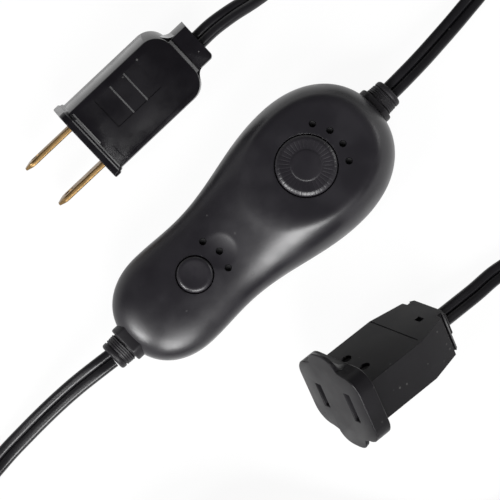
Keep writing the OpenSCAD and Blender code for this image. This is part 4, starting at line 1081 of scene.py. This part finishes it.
# Sides that lean are given by their reach at the foot and how far they lean in.
PLUG_LEFT, PLUG_RIGHT, PLUG_REAR = (11.7, 1.95), (11.3, 1.3), (35.2, 0.7)
PLUG_LEVELS = (  # height, trim of its rounded edges
    (-5.3, 0.6), (-4.9, 0.15), (-4.5, 0.0), (4.85, 0.0), (5.08, 0.05), (5.22, 0.15), (5.3, 0.32),
)
PLUG_PANEL = (9.6, 24.9, -1.9, 7.6, 4.95, 6.0)
NECK_HIGH, NECK_FRONT, NECK_CORNER = 3.9, 33.0, 1.2
NECK_HALF, NECK_REAR = (6.4, 0.95), (PLUG_END + 0.3, 0.4)
NECK_LEVELS = ((-3.9, 0.4), (-3.6, 0.0), (3.55, 0.0), (3.8, 0.1), (3.9, 0.3))
RIB_PLACES, RIB_SPAN = (15.1, 20.0), (-1.85, 7.55)
RIB_SECTION = ((-0.16, 4.9), (0.36, 4.9), (0.36, 4.94), (-0.08, 5.25), (-0.14, 5.2))
PLUG_BORDER = ((30.0, -8.75), (6.1, -9.15), (5.35, -8.6), (5.15, -4.5))
BORDER_LOW, BORDER_HALF, BORDER_HIGH = 5.28, 0.16, 0.1
LIP_SECTION, LIP_SPAN = ((2.4, 5.2), (3.52, 5.2), (3.52, 5.24), (3.04, 5.58), (2.4, 5.6)), (-1.6, 8.9)
BANK_SECTION, BANK_SPAN = (
    (33.7, 5.3), (34.05, 5.28), (35.3, 4.4), (35.42, 4.2), (35.45, 3.9), (35.5, 3.4), (33.7, 3.4),
), (-5.5, 5.5)
FILLET, FILLET_LEVELS = (
    (33.8, 8.6), (34.5, 7.8), (35.0, 7.2), (35.6, 6.75), (36.2, 6.5), (37.0, 6.36), (37.0, 5.2), (33.8, 5.2),
), (-3.7, 3.4)
FLANGE_CORNERS = ((11.0, 6.5, 3.0), (-11.0, 6.5, 1.0), (-12.0, -6.5, 1.5), (12.6, -6.5, 1.5))  # y, z, radius
FLANGE_LEAD = 0.2
FLANGE_DEPTHS = (  # x, trim of the outline
    (0.0, 0.3), (0.1, 0.1), (0.3, 0.0), (1.75, 0.0), (2.1, 0.25), (2.14, 0.45), (2.55, 0.46), (2.95, 0.74),
    (3.0, 1.0),
)


def leaning(reach, up, trim):
    """A side's reach at a share of the height, given its reach at the foot and how far it leans in."""
    foot, lean = reach
    return foot - lean * up - trim


def plug_level(z, trim):
    """The plug's outline at a height: square at the flange, round at the rear, leaning in towards the top."""
    up = (z + PLUG_HIGH) / (2 * PLUG_HIGH)
    left, right, rear = (leaning(side, up, trim) for side in (PLUG_LEFT, PLUG_RIGHT, PLUG_REAR))
    middle = rear - PLUG_CORNER
    ring = [(PLUG_FRONT, -right)]
    ring += [(middle + u, -right + PLUG_CORNER + v) for u, v in arc(PLUG_CORNER, -90.0, 0.0, 14)]
    ring += [(middle + u, left - PLUG_CORNER + v) for u, v in arc(PLUG_CORNER, 0.0, 90.0, 14)]
    ring.append((PLUG_FRONT, left))
    return [(x, y, z) for x, y in ring]


def neck_level(z, trim):
    """The neck's outline at a height, with one rounded corner at the rear."""
    up = (z + NECK_HIGH) / (2 * NECK_HIGH)
    half, rear = leaning(NECK_HALF, up, trim), leaning(NECK_REAR, up, trim)
    bend = [(rear - NECK_CORNER + NECK_CORNER * math.sin(t), -half + NECK_CORNER - NECK_CORNER * math.cos(t))
            for t in steps(0.0, math.pi / 2, 10)]
    return [(x, y, z) for x, y in [(NECK_FRONT, -half)] + bend + [(rear, half), (NECK_FRONT, half)]]


def border_line(start, stop):
    """A fine round-topped line on the plug's broad face."""
    a, b = Vector(start), Vector(stop)
    aside = Vector((-(b - a).y, (b - a).x)).normalized()
    bow = [(-BORDER_HALF * math.cos(t), BORDER_HIGH * math.sin(t)) for t in steps(0.0, math.pi, 12)]
    return loft([[(*(end + aside * u), BORDER_LOW + v) for u, v in bow] for end in (a, b)])


def flange_ring(x, trim):
    """The plug flange's outline at one depth. Short flats beside its corners keep its sides' shading."""
    ring = []
    for quarter, (wide, tall, radius) in enumerate(FLANGE_CORNERS):
        y, z = (shorter(shorter(reach, trim), radius) for reach in (wide, tall))
        bend = arc(1.0, 90.0 * quarter, 90.0 * quarter + 90.0, 8)
        (y0, z0), (y1, z1) = bend[0], bend[-1]
        lead = (y0 + z0 / radius * FLANGE_LEAD, z0 - y0 / radius * FLANGE_LEAD)
        tail = (y1 - z1 / radius * FLANGE_LEAD, z1 + y1 / radius * FLANGE_LEAD)
        ring += [(x, y + radius * u, z + radius * v) for u, v in [lead] + bend + [tail]]
    return ring


def plug_ribs():
    """What stands out of the plug: two ribs, the border line, the flange's lip and the rear bank."""
    ribs = Shape()
    for x in RIB_PLACES:
        ribs.join(bar([(x + u, z) for u, z in RIB_SECTION], *RIB_SPAN))
    for a, b in zip(PLUG_BORDER, PLUG_BORDER[1:]):
        ribs.join(border_line(a, b))
    ribs.join(bar(LIP_SECTION, *LIP_SPAN))
    ribs.join(bar(BANK_SECTION, *BANK_SPAN))
    return object_of("plug_ribs", ribs, RIB_SHARP)


def plug_fillets():
    """The hollow slopes on both sides, from the plug's rear to its neck."""
    fillets = Shape()
    for side in (-1, 1):
        levels = []
        for z in FILLET_LEVELS:
            lean = NECK_HALF[1] * (z + NECK_HIGH) / (2 * NECK_HIGH)
            levels.append([(x, side * (y - lean), z) for x, y in FILLET])
        fillets.join(loft(levels))
    return object_of("plug_steps", fillets, STEP_SHARP)


def make_plug():
    """A moulded body that narrows upwards, with a flange, a sunk panel with two ribs, and a neck."""
    body = object_of("plug_shell", loft([plug_level(z, trim) for z, trim in PLUG_LEVELS]), MOULD_SHARP)
    carve(body, block(*PLUG_PANEL), MOULD_SHARP)
    neck = object_of("plug_neck", loft([neck_level(z, trim) for z, trim in NECK_LEVELS]), MOULD_SHARP)
    ribs, fillets = plug_ribs(), plug_fillets()
    flange = object_of("plug_flange", loft([flange_ring(x, trim) for x, trim in FLANGE_DEPTHS]), MOULD_SHARP)
    plug = merge("plug_moulding", [body, neck, ribs, fillets, flange])
    move_to(plug, PLUG_PLACE)
    return finish_piece(plug, CASE, "moulded_plug", "plug_body")


BLADE_HALF_THICK, BLADE_TIP, BLADE_STRAIGHT, BLADE_EDGE = 0.75, -15.9, (-4.0, 14.0), 0.55
BLADE_TAPER = (  # distance from the tip, share of the half width, half thickness
    (0.0, 0.5, 0.26), (0.25, 0.56, 0.34), (0.9, 0.73, 0.48), (1.5, 0.88, 0.6), (2.0, 1.0, 0.68),
    (2.8, 1.0, BLADE_HALF_THICK),
)
BLADE_HOLE_BACK, BLADE_HOLE_RADIUS, BLADE_HOLE_REACH = 4.2, 1.5, 1.5
BLADE_BARREL = ((13.9, 1.3), (14.2, 1.5), (19.7, 1.5), (20.0, 1.4))
LIVE_WIDTH, NEUTRAL_WIDTH = 6.35, 7.9


def make_blade(name, y, width, node):
    """A brass blade: rounded long edges, a tapered tip, a hole near it and the barrel inside the plug."""
    def ring(x, share, flat):
        high = width / 2 * share
        edge = min(flat, high) * BLADE_EDGE
        return [(x, y + u, v) for u, v in round_rectangle(2 * flat, 2 * high, edge, 4)]

    rings = [ring(BLADE_TIP + back, share, flat) for back, share, flat in BLADE_TAPER]
    rings += [ring(x, 1.0, BLADE_HALF_THICK) for x in BLADE_STRAIGHT]
    blade = object_of(name, loft(rings), ROUND_SHARP)
    hole = [[(BLADE_TIP + BLADE_HOLE_BACK + u, y + through, v) for u, v in circle(BLADE_HOLE_RADIUS, 40)]
            for through in (-BLADE_HOLE_REACH, BLADE_HOLE_REACH)]
    carve(blade, loft(hole), ROUND_SHARP)
    barrel = [[(x, y + u, v) for u, v in circle(radius, 24)] for x, radius in BLADE_BARREL]
    whole = merge(name, [blade, object_of(name + "_barrel", loft(barrel), ROUND_SHARP)])
    move_to(whole, PLUG_PLACE)
    return finish_piece(whole, CASE, "brass_strip", node)


plug = make_plug()
live_blade = make_blade("live_blade_strip", BLADE_PITCH / 2, LIVE_WIDTH, "plug_blade_live")
neutral_blade = make_blade("neutral_blade_strip", -BLADE_PITCH / 2, NEUTRAL_WIDTH, "plug_blade_neutral")


# Outlet

FRONT_HALF, FRONT_HIGH, FRONT_CORNER = 13.0, 10.5, 5.0
GRIP_HALF, GRIP_POWER = 5.6, 0.8
FRONT_DEPTHS = (  # x, reach of the thumb grips, trim of the outline
    (0.0, 4.4, 0.3), (0.06, 4.45, 0.12), (0.25, 4.5, 0.0), (1.1, 4.2, 0.0), (1.5, 2.6, 0.0), (2.1, 1.3, 0.0),
    (3.0, 0.5, 0.0), (4.4, 0.1, 0.0), (4.75, 0.06, 0.0), (4.94, 0.05, 0.12), (5.0, 0.05, 0.3),
)
LIVE_SLOT, NEUTRAL_SLOT, SLOT_HALF, SLOT_CORNER = 7.3, 8.8, 1.05, 0.25
SLOT_DEPTHS = ((-0.3, 1.6), (0.0, 1.3), (0.12, 1.12), (0.3, SLOT_HALF), (8.0, SLOT_HALF))  # x, half width
OUTLET_SIDE = (  # x, half width, from the front to the rear
    (2.0, 11.0), (23.4, 11.0), (33.0, 8.1), (33.2, 6.2), (34.2, 6.2), (34.4, 6.8), (35.4, 5.8),
)
OUTLET_HIGH, OUTLET_RADIUS = 6.05, 0.3
DENT_X, DENT_Y = 9.3, 3.9
DENT_PROFILE = ((AXIS_FLAT, 5.05), (0.8, 5.08), (1.2, 5.25), (1.3, 5.8), (1.42, 6.06), (1.42, 7.0))
SHORT_RECESS = (29.2, 30.8, -3.6, -1.4, 5.3, 7.0)
PANEL_LINE = (23.2, 23.6, -9.4, 10.4, 5.85, 7.0)
TAIL_FRONT, TAIL_HALF, TAIL_HIGH, TAIL_RADIUS = 34.0, 3.85, 3.35, 0.5


def front_ring(x, reach, trim):
    """The outlet's front outline at one depth, with a thumb grip of that reach above and below."""
    half, high = FRONT_HALF - trim, FRONT_HIGH - trim
    grip = [math.radians(t) for t in steps(0.0, 180.0, 28)[1:-1]]
    ring = []
    for quarter, (y, z) in enumerate(((1, 1), (-1, 1), (-1, -1), (1, -1))):
        for u, v in arc(FRONT_CORNER, 90.0 * quarter, 90.0 * quarter + 90.0, 10):
            ring.append((x, y * (half - FRONT_CORNER) + u, z * (high - FRONT_CORNER) + v))
        if quarter % 2 == 0:
            for a in grip:
                width = GRIP_HALF * signed_power(math.cos(a), GRIP_POWER)
                ring.append((x, z * width, z * (high + (reach - trim) * math.sin(a) ** GRIP_POWER)))
    return ring


def outlet_slots():
    """Cutters for the two slots, whose mouths are eased."""
    slots = Shape()
    for y, length in ((BLADE_PITCH / 2, LIVE_SLOT), (-BLADE_PITCH / 2, NEUTRAL_SLOT)):
        rings = []
        for x, half in SLOT_DEPTHS:
            mouth = round_rectangle(2 * half, length + 2 * (half - SLOT_HALF), SLOT_CORNER, 3)
            rings.append([(x, y + u, v) for u, v in mouth])
        slots.join(loft(rings))
    return slots


def make_outlet():
    """A moulded outlet: a flange with two grips and two slots, a body with two dents, and a tail."""
    front = loft([front_ring(x, reach, trim) for x, reach, trim in FRONT_DEPTHS])
    flange = object_of("outlet_flange", front, MOULD_SHARP)
    carve(flange, outlet_slots(), MOULD_SHARP)
    outline = [(x, -half) for x, half in OUTLET_SIDE] + list(reversed(OUTLET_SIDE))
    body = object_of("outlet_shell", slab(outline, -OUTLET_HIGH, OUTLET_HIGH), MOULD_SHARP)
    cuts = Shape()
    for y in (-DENT_Y, DENT_Y):
        cuts.join(lathe(DENT_PROFILE, 36, (DENT_X, y)))
    cuts.join(block(*SHORT_RECESS))
    cuts.join(block(*PANEL_LINE))
    carve(body, cuts, MOULD_SHARP)
    soften(body, OUTLET_RADIUS)
    tail_block = block(TAIL_FRONT, OUTLET_END, -TAIL_HALF, TAIL_HALF, -TAIL_HIGH, TAIL_HIGH)
    tail = object_of("outlet_tail", tail_block, MOULD_SHARP)
    soften(tail, TAIL_RADIUS)
    outlet = merge("outlet_moulding", [flange, body, tail])
    move_to(outlet, OUTLET_PLACE)
    return finish_piece(outlet, CASE, "moulded_plug", "outlet_body", paint="moulded_outlet")


outlet = make_outlet()


# Ties and spring

TIE_THICKNESS, TIE_WIDTH, TIE_GAP, TIE_CORNER = 0.8, 7.0, 0.2, 1.2
TIE_EDGES = (  # distance in from the strap's edge, height over its inside
    (0.1, 0.02), (0.0, TIE_THICKNESS - 0.12), (0.15, TIE_THICKNESS),
)
SPRING_TURNS, SPRING_RADIUS, SPRING_WIRE = 2.5, 3.0, 0.225
SPRING_LOW, SPRING_HIGH, SPRING_STEPS = 9.8, 13.1, 90


def make_tie(name, coil, angle, node):
    """A strap round all the turns of a coil, with rounded corners and bevelled edges."""
    centre, mean, spread = coil[0], coil[4], coil_spread(coil)
    low, high = mean - spread - CORD_LOBE - TIE_GAP, mean + spread + CORD_LOBE + TIE_GAP
    floor = COIL_LOW - CORD_WIDTH / 2 - TIE_GAP
    top = floor + COIL_RISE + CORD_WIDTH + 2 * TIE_GAP

    def section(along, grow):
        ring = round_rectangle(high - low + 2 * grow, top - floor + 2 * grow, TIE_CORNER + grow, 6)
        return [((low + high) / 2 + u, along, (floor + top) / 2 + v) for u, v in ring]

    rings = [section(-TIE_WIDTH / 2 + inwards, grow) for inwards, grow in TIE_EDGES]
    rings += [section(TIE_WIDTH / 2 - inwards, grow) for inwards, grow in reversed(TIE_EDGES)]
    shape = loft(rings + rings[:1], False, False)
    turn = Matrix.Translation((centre[0], centre[1], 0.0)) @ Matrix.Rotation(math.radians(angle), 4, "Z")
    tie = object_of(name, shape.moved(turn), ROUND_SHARP)
    return finish_piece(tie, CASE, "tie", node)


line_tie = make_tie("line_coil_strap", LINE_COIL, 180.0, "line_coil_tie")
load_tie = make_tie("load_coil_strap", LOAD_COIL, 210.0, "load_coil_tie")


def make_spring():
    """The return spring of round wire, made at one length, though the real one shortens as the button goes
    down.
    """
    low, high = SPRING_LOW + SPRING_WIRE, SPRING_HIGH - SPRING_WIRE
    path = []
    for k in range(SPRING_STEPS + 1):
        a = math.tau * SPRING_TURNS * k / SPRING_STEPS
        path.append(Vector((BUTTON_X + SPRING_RADIUS * math.cos(a), SPRING_RADIUS * math.sin(a),
                            mix(low, high, k / SPRING_STEPS))))

    def section(k, place, side, above):
        return [place + side * u + above * v for u, v in circle(SPRING_WIRE, 12)]

    spring = object_of("button_return_spring", loft(wire_rings(path, section)), WIRE_SHARP)
    finish_piece(spring, CASE, "spring_steel", "button_spring")
    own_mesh(spring)


make_spring()


# The cords' paths in metres, which nothing keeps

[tuple(p * MM) for p in line_path]
[tuple(p * MM) for p in load_path]


# Pieces that keep their CAD mesh

CARRIED = {
    "case_screw_set": "screw_steel", "circuit_board": "board", "board_screw_set": "screw_steel",
    "pot_case": "can_metal", "pot_track": "track", "pot_terminals": "brass_strip",
    "pot_shaft": "shaft_plastic", "switch_body": "switch_plastic", "switch_plunger": "plunger_plastic",
    "heat_sink": "sink_metal", "triac": "epoxy", "choke_core": "ferrite", "choke_winding": "copper_wire",
    "film_capacitor": "film", "resistor_set": "resistor", "diac": "diac_glass",
    "line_leads": "core_sleeve", "load_leads": "core_sleeve",
    "outlet_contact_live": "brass_strip", "outlet_contact_neutral": "brass_strip",
}
for node, slot in CARRIED.items():
    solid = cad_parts[node]
    solid.data.materials.clear()
    solid.data.materials.append(PAINT[slot])


# Floor, light and background, in metres

WHITE = (1.0, 1.0, 1.0, 1.0)
FLOOR_Z, FLOOR_HALF = -0.0005, 4.0
FLOOR_COLOUR, FLOOR_ROUGH, FLOOR_SPECULAR, FLOOR_GLOW = (0.9, 0.9, 0.9, 1.0), 0.9, 0.1, 0.94
LAMP_DISTANCE = 1.0
LAMPS = (  # name, way in plan, elevation, side of the box, watts
    ("key_box", (-0.56, -0.83), 40.0, 0.5, 13.5),
    ("side_box", (-1.0, 0.05), 40.0, 0.26, 7.0),
    ("far_box", (0.9, -0.25), 23.0, 0.24, 1.4),
)
TENT_LOW, TENT_HIGH, TENT_BRIGHT, TENT_DIM = 0.02, 0.5, 0.9, 0.1


def background_ray(nodes):
    """1 for the rays that see the background from the camera, off a shiny face or through a clear one."""
    kind = nodes.add("ShaderNodeLightPath").outputs
    either = nodes.math("MAXIMUM", kind["Is Camera Ray"], kind["Is Glossy Ray"])
    return nodes.math("MAXIMUM", either, kind["Is Transmission Ray"])


def mixed(nodes, factor, first, second):
    return nodes.add("ShaderNodeMixShader", {0: factor, 1: first, 2: second}).outputs["Shader"]


def white_floor():
    """A white floor that keeps the object's faint shadow and blends into the background."""
    paint, nodes, shader = start_material("floor_white")
    nodes.fill(shader, {
        "Base Color": FLOOR_COLOUR, "Roughness": FLOOR_ROUGH, "Specular IOR Level": FLOOR_SPECULAR})
    glow = nodes.add("ShaderNodeEmission", {"Color": WHITE, "Strength": 1.0})
    seen = nodes.math("MULTIPLY", background_ray(nodes), FLOOR_GLOW)
    output = next(node for node in paint.node_tree.nodes if node.type == "OUTPUT_MATERIAL")
    nodes.fill(output, {"Surface": mixed(nodes, seen, shader.outputs["BSDF"], glow.outputs["Emission"])})
    mesh = bpy.data.meshes.new("floor")
    corners = [(x * FLOOR_HALF, y * FLOOR_HALF, FLOOR_Z) for x, y in ((-1, -1), (1, -1), (1, 1), (-1, 1))]
    mesh.from_pydata(corners, [], [(0, 1, 2, 3)])
    mesh.materials.append(paint)
    floor = bpy.data.objects.new("floor", mesh)
    scene.collection.objects.link(floor)
    return floor


white_floor()


def lamp(name, plan, elevation, side, watts):
    """A square soft box that looks at the origin."""
    data = bpy.data.lights.new(name, "AREA")
    data.shape = "SQUARE"
    data.size = side
    data.energy = watts
    light = bpy.data.objects.new(name, data)
    up = math.radians(elevation)
    toward = Vector((*plan, 0.0)).normalized() * math.cos(up) + Vector((0.0, 0.0, math.sin(up)))
    where = toward.normalized() * LAMP_DISTANCE
    light.location = where
    light.rotation_euler = (-where).to_track_quat("-Z", "Y").to_euler()
    scene.collection.objects.link(light)


for box in LAMPS:
    lamp(*box)


def light_tent():
    """A white horizon that dims towards the zenith, where the camera is. The camera itself sees white."""
    world = bpy.data.worlds.new("studio_tent")
    scene.world = world
    world.use_nodes = True
    world.node_tree.nodes.clear()
    nodes = Nodes(world.node_tree)
    way = nodes.add("ShaderNodeTexCoord").outputs["Generated"]
    upward = nodes.add("ShaderNodeSeparateXYZ", {"Vector": way}).outputs["Z"]
    dimming = nodes.remap(upward, TENT_LOW, TENT_HIGH, TENT_BRIGHT, TENT_DIM)
    tent, white = (
        nodes.add("ShaderNodeBackground", {"Color": WHITE, "Strength": strength}).outputs["Background"]
        for strength in (dimming, 1.0))
    seen = nodes.add("ShaderNodeLightPath").outputs["Is Camera Ray"]
    nodes.add("ShaderNodeOutputWorld", {"Surface": mixed(nodes, seen, tent, white)})


light_tent()
scene.view_settings.view_transform = "Standard"
